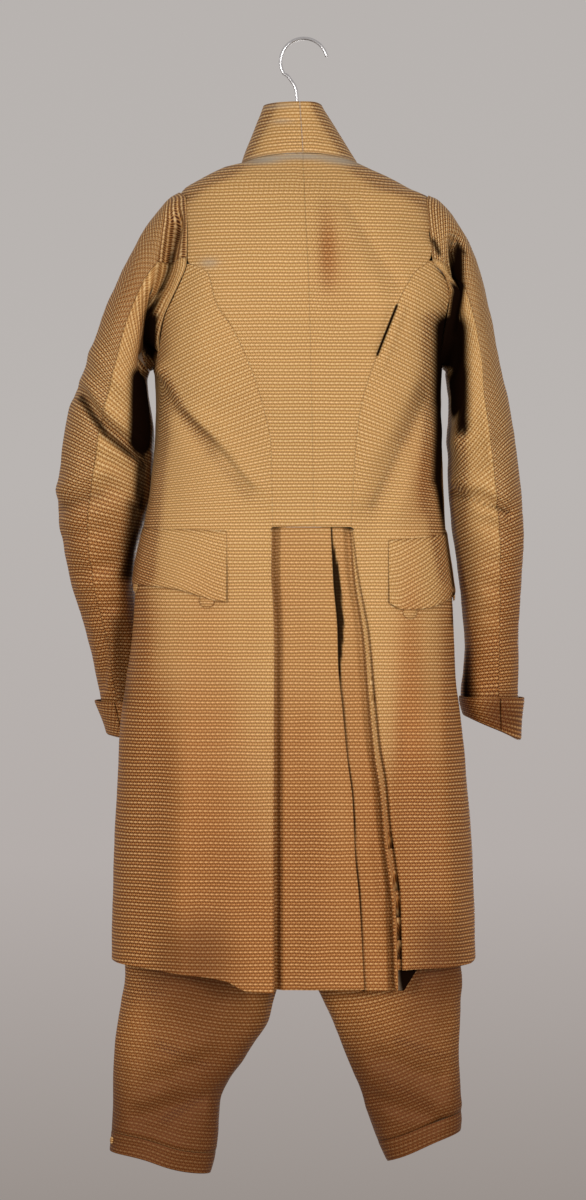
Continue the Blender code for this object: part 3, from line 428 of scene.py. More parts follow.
def along_columns(points):
    return along_rows(points.swapaxes(0, 1)).T


def edge_distance(points, edges):
    """The distance to the nearest edge of those named: start and end of a row, top and bottom."""
    rows, columns = along_rows(points), along_columns(points)
    found = {"s": rows, "e": rows[:, -1:] - rows, "t": columns, "b": columns[-1:] - columns}
    return np.minimum.reduce([found[key] for key in edges] or [np.full(rows.shape, 99.0)])


def turn_weave(u, v, tilt):
    """The weave's place, turned by an angle in radians."""
    c, s = np.cos(tilt), np.sin(tilt)
    return np.stack([c * u + s * v, -s * u + c * v], -1)


def unroll(points, column=0, tilt=0.0):
    """The weave's place in metres, straight along one column, turned by tilt."""
    u = along_rows(points)
    u = u - u[:, column : column + 1]
    v = np.broadcast_to(along_columns(points)[:, column : column + 1], u.shape)
    return turn_weave(u, v, tilt) * MM


# What each kind of panel is held by, on its own side.
HELD = {
    "coat_back": ("hung", "hanger_bar"),
    "coat_front": ("hung", "hanger_bar"),
    "coat_back_skirt": ("hung", "coat_back"),
    "coat_top_sleeve": ("hung", "coat_back"),
    "coat_under_sleeve": ("hung", "coat_back"),
    "coat_cuff": ("folded", "coat_top_sleeve"),
    "coat_collar": ("hung", "coat_back"),
    "coat_pocket_flap": ("hung", "coat_front"),
    "breeches_back": ("hung", "breeches_waistband"),
    "breeches_front": ("hung", "breeches_waistband"),
    "breeches_waistband": ("hung", "hanger_clip"),
    "breeches_knee_band": ("hung", "breeches_back"),
}


def state_cut(name, points, weave, cut):
    """The panel's size before sewing: its width and length along the weave, and its area."""
    across, down = points[1:, 1:] - points[:-1, :-1], points[1:, :-1] - points[:-1, 1:]
    kept = np.ones(points.shape[:2], bool) if cut is None else ~cut
    area = float((np.linalg.norm(np.cross(across, down), axis=-1) / 2)[kept[:-1, :-1]].sum()) * MM**2
    width, length = (float(np.ptp(weave[..., i][kept])) for i in (0, 1))
    kind, _, where = name.rpartition("_")
    held, holder = HELD[kind]
    holder = holder if holder == "hanger_bar" else f"{holder}_{where}"
    flat = round(width, 3), round(length, 3)
    area = min(round(area, 4), flat[0] * flat[1])
    print(f"{name}: {width:.3f} by {length:.3f} m, {area:.4f} square metres")


def shell(
    name, points, normal, weave, finish, seams="", seam=None, cut=None, uneven=1.0, thick=THICK,
    fall=SEAM_FALL, push=0.0, middle=0.0, turned=0.0, hollow=0.0,
):
    """A panel's shell over its grid of points.

    Its sewn edges are named by seams, or seam gives the distance to them. Cells marked in cut are
    left out, and push moves the cloth outwards. turned is the least painted brown and shade that the
    panel gets, and hollow adds painted shade to the dark that the table gives.
    """
    points = points + normal * np.broadcast_to(push, points.shape[:2])[..., None]
    rows, cols = points.shape[:2]
    seam = edge_distance(points, seams) if seam is None else seam
    lift = unevenness(points, uneven) * smooth_step(0, SEAM_FLAT, seam)
    lift = lift - fall * (1 - smooth_step(0, SEAM_ROLL, seam))
    # hollow is painted shade: the piece's own, the hollow table's lines and deep troughs, mixed to near
    # black.
    hollow = hollow + creases(HOLLOW_SHADE, points, middle) + smooth_step(*CREASE_SHADE, -push)
    placed = (points + normal * lift[..., None]) * MM
    bm = bmesh.new()
    bmesh.ops.create_grid(bm, x_segments=cols - 1, y_segments=rows - 1, size=1)
    uv = bm.loops.layers.uv.new("weave")
    bm.verts.ensure_lookup_table()
    flat, flat_weave = placed.reshape(-1, 3), weave.reshape(-1, 2)
    for vert, place, uv_place in zip(bm.verts, flat, flat_weave):
        vert.co = place
        for loop in vert.link_loops:
            loop[uv].uv = uv_place
    # Painted brown and shade on the flanks, from the normal's y.
    flank = FLANK_SHADE * smooth_step(*FLANK, np.abs(normal[..., 1]))
    marks = {
        "turned": np.maximum(creases(TURNED_SHADE, points, middle), turned) + flank,
        "seam": seam * MM,
        "tone": patches(TONE_AND_SHADE, points),
        "wear": patches(WORN, points),
        "hollow": hollow,
    }
    for key, values in marks.items():
        layer = bm.verts.layers.float.new(key)
        for vert, value in zip(bm.verts, values.ravel()):
            vert[layer] = value
    bm.verts.index_update()
    bm.faces.ensure_lookup_table()
    sample = bm.faces[len(bm.faces) // 2 + cols // 2]
    sample.normal_update()
    corner = min(v.index for v in sample.verts)
    if sample.normal.dot(Vector(normal.reshape(-1, 3)[corner])) < 0:
        bmesh.ops.reverse_faces(bm, faces=bm.faces[:])
    if cut is not None:
        gone = [f for f in bm.faces if cut[divmod(min(v.index for v in f.verts), cols)]]
        bmesh.ops.delete(bm, geom=gone, context="FACES")
    piece = piece_from(bm, name, finish, LINING)
    wall = piece.modifiers.new("wall", "SOLIDIFY")
    wall.thickness = thick * MM
    wall.offset = -1
    wall.material_offset = 1
    state_cut(name, points, weave, cut)
    return piece


def in_scene(name, data):
    """A new object of the scene that holds the data."""
    made = bpy.data.objects.new(name, data)
    bpy.context.scene.collection.objects.link(made)
    return made


def piece_from(bm, node, *finishes):
    """An object from a bmesh, riding on the suit's one body and standing for a node of the CAD."""
    name = f"{node}_finished"
    mesh = bpy.data.meshes.new(name)
    bm.to_mesh(mesh)
    bm.free()
    mesh.shade_smooth()
    for finish in finishes:
        mesh.materials.append(finish)
    piece = in_scene(name, mesh)
    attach(piece, "root")
    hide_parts(node)
    return piece


def faces(pieces):
    """How many faces each piece has before its wall is added."""
    return [len(piece.data.polygons) for piece in pieces]


def shares(width, first=True, last=True, pitch=PITCH):
    """Places across a panel from 0 to 1, closer together beside sewn edges."""
    edge = np.array([0, 1.0, 2.2, 3.6, 5.5]) / width
    start, end = (edge if first else edge[:1]), (1 - edge[::-1] if last else np.array([1.0]))
    inner = np.linspace(start[-1], end[0], max(int((end[0] - start[-1]) * width / pitch), 1) + 1)
    return np.concatenate([start[:-1], inner, end[1:]])


print("a 100 mm strip has", len(shares(100.0)), "columns")

# %% [markdown]
# Materials are sums on sockets. The class below wraps one output of a node, so that an expression
# such as 1 - mask adds its own Math nodes. Everything else is made by one method that takes the
# node's type, its settings and its inputs.

# %% Shader arithmetic
# Painted shade: the near black that the hollow mark mixes in.
SHADE_BLACK = (0.007, 0.003, 0.0015, 1)


class Value:
    """One output of a node, which Python's arithmetic works on."""

    def __init__(self, finish, socket):
        self.finish, self.socket = finish, socket

    def math(self, operation, *others, swap=False):
        inputs = [self, *others]
        if swap:
            inputs.reverse()
        return self.finish.node("ShaderNodeMath", {"operation": operation}, dict(enumerate(inputs)))

    def __add__(self, other):
        return self.math("ADD", other)

    def __radd__(self, other):
        return self.math("ADD", other, swap=True)

    def __sub__(self, other):
        return self.math("SUBTRACT", other)

    def __rsub__(self, other):
        return self.math("SUBTRACT", other, swap=True)

    def __mul__(self, other):
        return self.math("MULTIPLY", other)

    def __rmul__(self, other):
        return self.math("MULTIPLY", other, swap=True)

    def __truediv__(self, other):
        return self.math("DIVIDE", other)

    def __neg__(self):
        return self * -1

    def fraction(self):
        return self.math("FRACT")

    def bell(self, centre, width):
        """1 at the centre and soft to 0 on both sides."""
        away = (self - centre) / width
        return (away * away * -1).math("EXPONENT")

    def above(self, low, high):
        """0 below low, 1 above high and smooth between them."""
        settings = {"interpolation_type": "SMOOTHSTEP"}
        values = {"Value": self, "From Min": low, "From Max": high}
        return self.finish.node("ShaderNodeMapRange", settings, values)


class Finish:
    """A material of one Principled shader, mixed with black where shade is painted on."""

    def __init__(self, name, roughness=0.5, **fixed):
        self.material = bpy.data.materials.new(name)
        self.material.use_nodes = True
        self.tree = self.material.node_tree
        self.shader = self.tree.nodes["Principled BSDF"]
        self.set("Roughness", roughness)
        for key, value in fixed.items():
            self.set(key.replace("_", " ").title().replace("Ior", "IOR"), value)

    def node(self, kind, settings=None, values=None, output=0):
        made = self.tree.nodes.new(kind)
        for key, value in (settings or {}).items():
            setattr(made, key, value)
        for key, value in (values or {}).items():
            self.feed(made.inputs[key], value)
        return Value(self, made.outputs[output])

    def feed(self, socket, value):
        if isinstance(value, Value):
            self.tree.links.new(value.socket, socket)
        else:
            socket.default_value = value

    def set(self, name, value):
        self.feed(self.shader.inputs[name], value)

    def blend(self, share, first, second):
        """A colour between two, by a share."""
        values = {0: share, 6: first, 7: second}
        return self.node("ShaderNodeMix", {"data_type": "RGBA"}, values, 2)

    def noise(self, where, scale, detail=2.0):
        return self.node("ShaderNodeTexNoise", None, {"Vector": where, "Scale": scale, "Detail": detail})

    def stretched(self, where, scale):
        return self.node("ShaderNodeMapping", None, {"Vector": where, "Scale": scale})

    def split(self, where):
        node = self.tree.nodes.new("ShaderNodeSeparateXYZ")
        self.feed(node.inputs[0], where)
        return [Value(self, out) for out in node.outputs]

    def place(self):
        return self.node("ShaderNodeTexCoord", output=3)

    def mark(self, name):
        """A number that the shells carry on their vertices."""
        return self.node("ShaderNodeAttribute", {"attribute_name": name}, output=2)

    def paint_shade(self):
        """Painted shade: nearly black and without shine in the hollows, as deep inside a fold."""
        lit = Value(self, self.shader.outputs[0])
        black = self.node("ShaderNodeBsdfDiffuse", None, {"Color": SHADE_BLACK})
        hollow = self.mark("hollow").above(0.05, 0.95)
        mixed = self.node("ShaderNodeMixShader", None, {0: hollow, 1: lit, 2: black})
        self.feed(self.tree.nodes["Material Output"].inputs["Surface"], mixed)

    def bump(self, height, distance, strength):
        values = {"Height": height, "Distance": distance, "Strength": strength}
        self.set("Normal", self.node("ShaderNodeBump", None, values))


print("a finish is made of nodes by", Finish.node.__name__)

# %% [markdown]
# The silk is figured with a small repeat, 6 mm across and 7.5 mm down: a pale line of dots, then
# two rows of short floats that slant both ways, with fainter dots between them. It is changeable:
# gold where it lies flat, and brown where it turns away. A finish can't know how a panel hangs, so
# it reads the marks that each shell carries: turned and tone for the brown, partly painted shade,
# hollow for painted near-black shade, seam for the line of shade at a sewn edge, and wear.
# The floats are a little metallic, so they catch the light, and the ground between them stays matt.

# %% The figured silk
DOT_WIDE = 0.0060
REPEAT_HIGH = 0.0075
# Gold and brown are the silk's two colours. The brown and the dark float colour are also painted as shade
# where the cloth turns away or its tone is high.
PALE = {"gold": (0.88, 0.65, 0.34, 1), "brown": (0.80, 0.48, 0.20, 1)}
GROUND = {"gold": (0.70, 0.43, 0.165, 1), "brown": (0.48, 0.195, 0.050, 1)}
FLOAT = {"gold": (0.29, 0.115, 0.022, 1), "brown": (0.17, 0.045, 0.008, 1)}
FLOAT_IN_SHADE = (0.085, 0.020, 0.003, 1)
WORN_GREY = (0.40, 0.34, 0.26, 1)
SEAM_SHADE = (0.10, 0.045, 0.017, 1)
SEAM_LINE = 0.0008  # width of the shade at a sewn edge
DOT, LINE, FAINT_LINE = 0.2, 0.12, 0.10  # half widths, in repeats
FLOAT_WIDE, FLOAT_HIGH, SLANT = 0.34, 0.17, 2.2
PATCHES_EACH_METRE = (14.0, 14.0, 5.0)
THREADS_EACH_METRE = (2600.0, 420.0, 1.0)
DEEP_BROWN = (1.25, 2.1)  # the tone at which the cloth starts to go dark brown, and is
RELIEF = 0.0004


def silk(name, warmth=0.0):
    """The figured silk. warmth moves it from gold to brown."""
    cloth = Finish(name, sheen_weight=0.03, sheen_roughness=0.4, specular_ior_level=0.14)
    cloth.set("Sheen Tint", (1.0, 0.75, 0.45, 1))
    weave = cloth.node("ShaderNodeUVMap", {"uv_map": "weave"})
    here = cloth.place()
    sway = cloth.noise(here, 26.0) - 0.5
    u, v, _ = cloth.split(weave)
    across = u / DOT_WIDE + sway * 0.5
    row = (v / REPEAT_HIGH + sway * 0.3).fraction()
    line = row.bell(0.5, LINE)
    faint_line = row.bell(0.0, FAINT_LINE) + row.bell(1.0, FAINT_LINE)
    dots = across.fraction().bell(0.5, DOT) * line
    dots = dots + (across + 0.5).fraction().bell(0.5, DOT) * faint_line * 0.8
    rising = (across * 2 + (row - 0.25) * SLANT).fraction().bell(0.5, FLOAT_WIDE)
    falling = (across * 2 - (row - 0.75) * SLANT).fraction().bell(0.5, FLOAT_WIDE)
    floats = (rising * row.bell(0.25, FLOAT_HIGH) + falling * row.bell(0.75, FLOAT_HIGH)).above(0.1, 0.45)
    patchy = cloth.noise(cloth.stretched(here, PATCHES_EACH_METRE), 1.0, 4.0)
    # Painted brown and shade come in by tone and turned. Turned cloth gets the brown ground, the dark floats
    # and less shine.
    tone = cloth.mark("tone")
    brown = (tone + warmth + (patchy - 0.5) * 0.5).above(-0.15, 1.0)
    threads = cloth.noise(cloth.stretched(weave, THREADS_EACH_METRE), 1.0, 1.0)
    turned = (cloth.mark("turned") + (patchy - 0.5) * 0.3).above(0.05, 0.95)
    colour = cloth.blend((brown + turned * 0.5).above(0.0, 1.2), GROUND["gold"], GROUND["brown"])
    float_colour = cloth.blend(turned, cloth.blend(brown, FLOAT["gold"], FLOAT["brown"]), FLOAT_IN_SHADE)
    pale = cloth.blend(brown, PALE["gold"], PALE["brown"])
    colour = cloth.blend(floats * (0.82 + turned * 0.18), colour, float_colour)
    colour = cloth.blend((dots * 0.9 + line * 0.3).above(0.0, 0.9) * 0.85, colour, pale)
    colour = cloth.blend((threads - 0.5).above(0.0, 0.35) * 0.2, colour, float_colour)
    colour = cloth.blend(turned * 0.06, colour, FLOAT_IN_SHADE)
    worn = (cloth.mark("wear") * (0.4 + patchy * 0.8)).above(0.0, 1.0)
    colour = cloth.blend(worn, colour, WORN_GREY)
    colour = cloth.blend((1 - cloth.mark("seam").above(0.0, SEAM_LINE)) * 0.3, colour, SEAM_SHADE)
    # Painted shade: the highest tones go towards the dark float colour.
    deep = (tone + warmth + (patchy - 0.5) * 0.3).above(*DEEP_BROWN)
    colour = cloth.blend(deep * 0.75, colour, FLOAT_IN_SHADE)
    cloth.paint_shade()
    cloth.set("Base Color", colour)
    cloth.set("Metallic", (0.05 + floats * 0.25 * (1 - turned)) * (1 - worn))
    cloth.set("Roughness", 0.64 - floats * 0.2 + (threads - 0.5) * 0.15)
    crumple = cloth.noise(here, 38.0, 4.0) * (2.5 + warmth * 11)
    cloth.bump(dots * 0.6 - floats * 0.25 + (threads - 0.5) * 0.5 + crumple, RELIEF, 0.85)
    return cloth.material


SILK = silk("figured_silk")
SKIRT_SILK = silk("figured_silk_brown", 0.34)
print("the silk has", len(SILK.node_tree.nodes), "nodes")

# %% [markdown]
# The other finishes are plain ones: a matt weave for the lining, bright drawn wire whose scratches
# run along it, and pale wood with its grain along the bar. The lining reads the dark of the hollows
# as the silk does, because both sides of a fold lie in the same shade.

# %% The lining, the wire and the wood
def plain_cloth(name, colour, dark):
    """A plain weave for linings."""
    cloth = Finish(name, 0.85, sheen_weight=0.2)
    here = cloth.place()
    fine = cloth.noise(cloth.stretched(here, (900.0, 900.0, 2200.0)), 1.0, 1.0)
    cloudy = cloth.noise(here, 9.0, 3.0)
    shade = cloth.blend((fine * 0.5 + cloudy * 0.5).above(0.3, 0.7), dark, colour)
    cloth.set("Base Color", shade)
    cloth.paint_shade()
    cloth.bump(fine, 0.0003, 0.6)
    return cloth.material


def steel(name):
    """Bright drawn wire with faint lengthwise scratches."""
    wire = Finish(name, metallic=1.0)
    here = wire.place()
    scratch = wire.noise(wire.stretched(here, (900.0, 900.0, 60.0)), 1.0, 2.0)
    wire.set("Base Color", wire.blend(scratch, (0.55, 0.55, 0.57, 1), (0.8, 0.8, 0.82, 1)))
    wire.set("Roughness", 0.16 + scratch * 0.14)
    return wire.material


def beech(name):
    """Pale turned wood, its grain along the bar."""
    wood = Finish(name, 0.5)
    here = wood.place()
    grain = wood.noise(wood.stretched(here, (14.0, 160.0, 160.0)), 1.0, 4.0)
    wood.set("Base Color", wood.blend(grain.above(0.35, 0.7), (0.62, 0.42, 0.22, 1), (0.38, 0.22, 0.10, 1)))
    wood.set("Roughness", 0.42 + grain * 0.2)
    wood.bump(grain, 0.0004, 0.4)
    return wood.material


LINING = plain_cloth("lining", (0.30, 0.20, 0.12, 1), (0.19, 0.12, 0.07, 1))
STEEL = steel("drawn_steel")
WOOD = beech("beech")
print("finishes made", [m.name for m in bpy.data.materials])

# %% [markdown]
# The backs. Each runs from the centre back seam to the armhole and a curved side-back seam, the
# cut that shapes the coat to the waist. The weave's rows lie level, so the UV map counts the girth
# from the centre back.

# %% The backs
SEAM = 0.3
WAIST = 586.0
UNDERARM = 391.0
SHOULDER = 192.0
NECK_BACK = 142.0  # a little above the solid's, as the real seam bows up
NECK_SIDE = 150.0
NECK_FRONT = 212.0
NECK_CENTRE = -1.0
RIDGE_GAP = 0.002  # in radians, between back and front along the shoulder
CENTRE_BACK = table("down x", (147, -1), (199, 1), (312, 6), (441, 9), (586, 12))
BACK_EDGE = {
    -1: table(
        "down x",
        (192, -150),
        (200, -141),
        (240, -138),
        (272, -138),
        (284, -115),
        (322, -104),
        (353, -84),
        (404, -61),
        (449, -47),
        (490, -39),
        (586, -37),
    ),
    1: table(
        "down x",
        (192, 149),
        (200, 147),
        (235, 150),
        (266, 151),
        (286, 131),
        (328, 108),
        (384, 86),
        (441, 68),
        (490, 61),
        (586, 56),
    ),
}
HORN_ROWS = {-1: [275, 282, 290], 1: [270, 279, 290]}
SEAM_ROWS = [322, 353, UNDERARM, 425, 462, 500, 543, WAIST]


def torso_weave(angle, down):
    """Real metres along the weave: the girth from the centre back, and the depth."""
    from_centre = angle[:, :1] + math.pi / 2
    start = np.linspace(0, 1, 40)[None] * from_centre - math.pi / 2
    girth = along_rows(torso(start, np.repeat(down[:, :1], 40, 1)))[:, -1:] * np.sign(from_centre)
    u = girth + along_rows(torso(angle, down)) * np.sign(angle[:, -1:] - angle[:, :1])
    return np.stack([u, down - WAIST], -1) * MM


def back(side):
    close = [NECK_BACK, 143.2, 145, 147.5], [583.5, 585, WAIST]  # rows close together at both seams
    down = np.concatenate([close[0], np.arange(NECK_SIDE, 582, PITCH), close[1]])
    part = shares(130.0)
    edge_x = curve(BACK_EDGE[side], "x", down)
    ridge = -math.pi + RIDGE_GAP if side < 0 else -RIDGE_GAP
    edge = np.where(down <= SHOULDER, ridge, torso_angle(edge_x, down, side))
    centre = torso_angle(curve(CENTRE_BACK, "x", down), down, side)
    angle = spread(centre, edge, part)
    depth = np.repeat(down[:, None], len(part), 1)
    # The first rows follow the neck's curve.
    near_neck = 1 - smooth_step(NECK_BACK, 160, down)[:, None]
    depth = depth + near_neck * part**2 * (NECK_SIDE - NECK_BACK)
    neck_x = mix(NECK_CENTRE, curve(TORSO, side_name(side), down + NECK_SIDE - NECK_BACK)[:, None], part)
    neck_angle = torso_angle(neck_x, depth, side)
    neck_angle[:, -1] = ridge
    angle = mix(angle, neck_angle, near_neck)
    points, normal = torso(angle, depth), outward(torso, angle, depth)
    push = creases(BODY_CREASES, points)
    weave = torso_weave(angle, depth)
    return shell(f"coat_back_{side_name(side)}", points, normal, weave, SILK, "setb", push=push)


BACKS = {side: back(side) for side in (-1, 1)}
print("each back has", faces(BACKS.values()), "faces")

# %% [markdown]
# The fronts. On the real coat each front is one length of silk from shoulder to hem. Its rear edge
# meets the curved side-back seam, and below the waist it folds under in two deep pleats. One grid
# holds it all: the pleats' columns, a horn of cloth that runs up behind the armhole, a narrow strip
# at the underarm and the front itself. The cells of the armhole and above the pleats are cut away.

# %% The edges of the fronts
PLEAT_DEEP = 42.0
HEM_LEVEL = 1100.0
VENT_LAP = 34.0
SIDE_TILT = 22.0  # of the weave on the coat's sides above the waist
ARMHOLE = {
    -1: table(
        "down behind before",
        (192, -150.5, -150.5),
        (200, -141, -142),
        (240, -138, -138),
        (274, -138.5, -137),
        (290, -144, -139),
        (311, -154, -144),
        (340, -167, -154),
        (372, -173, -166),
        (391, -175, -172),
    ),
    1: table(
        "down behind before",
        (192, 149.5, 149.5),
        (200, 147, 141),
        (240, 150, 138),
        (270, 153, 139),
        (290, 168, 142),
        (311, 173, 146),
        (340, 168, 152),
        (372, 164, 158),
        (391, 163, 161),
    ),
}
FRONT_EDGE = table(
    "down x", (212, 1.5), (400, 1.5), (500, 9), (586, 22), (700, 45), (850, 77), (1000, 107), (1110, 126)
)
FOLD = {
    -1: table("down x", (586, -37.5), (640, -38), (672, -36), (720, -34.5), (1140, -35)),
    1: table(
        "down x",
        (586, 57),
        (643, 64.5),
        (713, 77.5),
        (770, 83),
        (847, 91.5),
        (883, 98.5),
        (940, 104.5),
        (987, 111.5),
        (1022, 116),
        (1140, 118.5),
    ),
}
VENT = table(
    "down x",
    (586, 31.5),
    (653, 35),
    (703, 39.5),
    (752, 41),
    (790, 45),
    (859, 52),
    (906, 58),
    (975, 61.5),
    (1022, 66),
    (1140, 73),
)
PLEAT = table(
    "down bend nip proud",
    (586, 1.9, 0.35, 1),
    (640, 2.4, 0.5, 4),
    (760, 3.0, 0.8, 6),
    (1140, 4.0, 1.5, 6.5),
)
SECOND_FOLD = {-1: -0.46, 1: 1.0}
PANEL_SINK = table("down sink", (586, 0), (640, 3), (760, 7), (1140, 10))
HEM = {
    -1: table(
        "angle down",
        (-285, 1072),
        (-230, 1086),
        (-180, 1100),
        (-150, 1110),
        (-128, 1119),
        (-117, 1131),
        (-90, 1134),
    ),
    1: table(
        "angle down",
        (-90, 1131),
        (-60, 1111),
        (-40, 1108),
        (-12, 1104),
        (0, 1094),
        (40, 1086),
        (105, 1072),
    ),
}
BACK_HEM = {-1: 1130.0, 1: 1132.0}


print("the front edge is cut away by", float(np.ptp(FRONT_EDGE["x"])), "mm")

# %% [markdown]
# The hip pleats. Each is cloth that turns under at a first fold, runs back inside, and turns again at
# a second fold that stands a little proud of it. The path of one level is worked out from the widths
# of its bends, and each level down the skirt has slightly wider ones, because the pleat opens.

# %% The pleats
FOLD_COLS = 9  # columns round each of the two folds
UNDER_SHARES = (1, 0.75, 0.5, 0.14)


def pleat_path(bend, nip, proud):
    """The turned-under cloth's section, from its free end to the first fold."""
    turn = np.linspace(-math.pi / 2, math.pi / 2, FOLD_COLS)
    far = 2 * bend + 2 * nip + bend
    path = [(share * PLEAT_DEEP, far + bend) for share in UNDER_SHARES]
    path += [(bend - proud - bend * math.cos(t), far - bend * math.sin(t)) for t in turn]
    path += [(share * PLEAT_DEEP, far - bend) for share in (0.14, 0.5, 0.75)]
    path += [(PLEAT_DEEP + nip * math.cos(t), 2 * bend + nip - nip * math.sin(t)) for t in turn[::2]]
    path += [(share * PLEAT_DEEP, 2 * bend) for share in (0.75, 0.5, 0.25)]
    return path + [(bend - bend * math.cos(t), bend - bend * math.sin(t)) for t in turn[:-1]]


def front_hem(side, x, down):
    """The depth of the front's hem where the skirt passes x."""
    return curve(HEM[side], "down", np.degrees(torso_angle(x, down, side)), "angle")


def pleat_points(side, down):
    """Only the second fold reaches down to the back's hem: the cloth behind it rises."""
    rows = []
    for at in down:
        bend, nip, proud = (float(curve(PLEAT, name, at)) for name in ("bend", "nip", "proud"))
        path = np.array(pleat_path(bend, nip, proud * SECOND_FOLD[side]))
        x = curve(FOLD[side], "x", at) + side * path[:, 0]
        # Rounding decides this where the second fold ends, so a few rows reach down a little there too.
        behind = path[:, 1] > 2 * bend + 2 * nip
        hem = front_hem(side, x, at)
        near_fold = behind * smooth_step(PLEAT_DEEP / 2, 6, path[:, 0])
        hem = mix(hem, np.maximum(hem, BACK_HEM[side] - 1), near_fold)
        level = mix(WAIST, hem, (at - WAIST) / (down[-1] - WAIST))
        angle = torso_angle(x, level, side)
        rows.append(torso(angle, level) - outward(torso, angle, level) * path[:, 1:])
    return np.array(rows)


print("a pleat's path has", len(pleat_path(2.0, 0.5, 4.0)), "points")

# %% [markdown]
# The grid of a front. A few depths along the rear edge, the armhole and the front edge say where its
# rows start and end, and more rows are filled in between them. Below the waist each row swings out
# with the skirt. The weave stays level there, but is turned on the coat's sides, where the real silk
# was cut on a slant.

# %% The fronts
def finer(values, counts):
    """The values with each step between them split into a count of smaller ones."""
    at = np.concatenate([[0]] + [i + np.arange(1, n + 1) / n for i, n in enumerate(counts)])
    rows = {"at": np.arange(len(values), dtype=float), "value": np.array(values, float)}
    return curve(rows, "value", at, "at")


STEPS = [4, 5, 3, 4, 5, 6, 8, 9, 10, 9, 9, 10, 11, 11]  # rows in each step down the front
HORN_TOP, UNDERARM_ROW, WAIST_ROW = sum(STEPS[:4]), sum(STEPS[:9]), sum(STEPS)
BEFORE = [150, 168, 192, 205, 225, 248, 275, 310, 350] + SEAM_ROWS[2:]
CENTRE = [212, 220, 234, 248, 264, 284, 306, 332, 362, 397, 428, 463, 501, 543, WAIST]
HORN_PART, STRIP_PART, PART = shares(170.0, True, False), np.linspace(0, 1, 7), shares(190.0, False, True)
HORN_COLS = len(HORN_PART) - 1
FIRST = HORN_COLS + len(STRIP_PART) - 1  # the front's first column beside the armhole
STRIP_AT_WAIST = (0.48, 0.56)  # where the underarm strip ends, as shares of the front's width


def front_above_waist(side):
    """The angle and the depth of each point of the front's grid down to the waist."""
    behind = finer(HORN_ROWS[side][:1] * 4 + HORN_ROWS[side] + SEAM_ROWS, STEPS)
    before, centre = finer(BEFORE, STEPS), finer(CENTRE, STEPS)
    rear = torso_angle(curve(BACK_EDGE[side], "x", behind), behind, side)
    horn_edge = torso_angle(curve(ARMHOLE[side], "behind", behind), behind, side)
    arm_edge = torso_angle(curve(ARMHOLE[side], "before", before), before, side, 1)
    ridge = -math.pi - RIDGE_GAP if side < 0 else RIDGE_GAP
    arm_edge[before <= SHOULDER] = ridge
    front_edge = torso_angle(side * curve(FRONT_EDGE, "x", centre), centre, side, 1)
    even = smooth_step(UNDERARM, WAIST, behind)
    strip = [mix(rear, front_edge, share) for share in STRIP_AT_WAIST]
    below = behind > UNDERARM
    horn_edge = np.where(below, mix(horn_edge[UNDERARM_ROW], strip[0], even), horn_edge)
    arm_edge = np.where(below, mix(arm_edge[UNDERARM_ROW], strip[1], even), arm_edge)
    angle, depth = (
        np.hstack([
            spread(a, b, HORN_PART)[:, :-1],
            spread(b, c, STRIP_PART)[:, :-1],
            spread(c, d, PART),
        ])
        for a, b, c, d in ((rear, horn_edge, arm_edge, front_edge), (behind, behind, before, centre))
    )
    # The first rows follow the neck's curve.
    neck_x = curve(TORSO, side_name(side), NECK_SIDE) * np.cos(PART * math.pi / 2)
    neck_down = NECK_SIDE + (NECK_FRONT - NECK_SIDE) * np.sin(PART * math.pi / 2)
    bulge_x = neck_x - mix(neck_x[0], neck_x[-1], PART)
    bulge_down = neck_down - mix(neck_down[0], neck_down[-1], PART)
    for row in range(HORN_TOP):
        weight = 1 - row / HORN_TOP
        level = before[row]
        on_ridge = level <= SHOULDER
        start = curve(TORSO, side_name(side), level) if on_ridge else curve(ARMHOLE[side], "before", level)
        x = mix(start, side * FRONT_EDGE["x"][0], PART) + weight * bulge_x
        depth[row, FIRST:] = mix(level, centre[row], PART) + weight * bulge_down
        angle[row, FIRST:] = torso_angle(x, depth[row, FIRST:], side, 1)
        if on_ridge:
            angle[row, FIRST] = ridge
        angle[row, -1] = front_edge[row]
    return angle, depth


def front_skirt(side, angle, depth):
    """The same below the waist row, the last rows close together at the hem's fold."""
    along = angle - angle[0]
    angles, depths = [], []
    for fraction in np.concatenate([np.linspace(0, 1, 122)[1:-1], [0.9945, 0.9975, 1]]):
        level = mix(WAIST, HEM_LEVEL, fraction)
        bend = curve(PLEAT, "bend", level)
        start = float(torso_angle(curve(FOLD[side], "x", level) + side * bend, level, side))
        end = float(torso_angle(side * curve(FRONT_EDGE, "x", level), level, side, 1))
        angles.append(start + along * (end - start) / along[-1])
        depths.append(mix(depth, curve(HEM[side], "down", np.degrees(angles[-1]), "angle"), fraction))
    return angles, depths


def front_weave(side, angle, depth, points):
    """Level below the waist. Above it the side's weave tilts, rising towards the side-back seam."""
    weave = torso_weave(angle, depth)
    tilt = math.radians(SIDE_TILT) * side * (1 - smooth_step(430, 600, depth))
    tilt = tilt * smooth_step(60, 95, -points[..., 1] + 60)
    pivot = weave[WAIST_ROW, 0]
    return turn_weave(weave[..., 0] - pivot[0], weave[..., 1] - pivot[1], tilt) + pivot


def front_seams(points, pleat_cols):
    """The distance to a sewn edge. Below the waist the first columns run on from the pleat."""
    seams = edge_distance(points[:, pleat_cols:], "se")
    seams[WAIST_ROW + 3 :, :12] = np.maximum(seams[WAIST_ROW + 3 :, :12], 12)
    armhole = along_columns(points[HORN_TOP:, pleat_cols : pleat_cols + HORN_COLS])
    seams[HORN_TOP:, :HORN_COLS] = np.minimum(seams[HORN_TOP:, :HORN_COLS], armhole + 0.01)
    return np.hstack([np.full((len(points), pleat_cols), 20.0), seams])


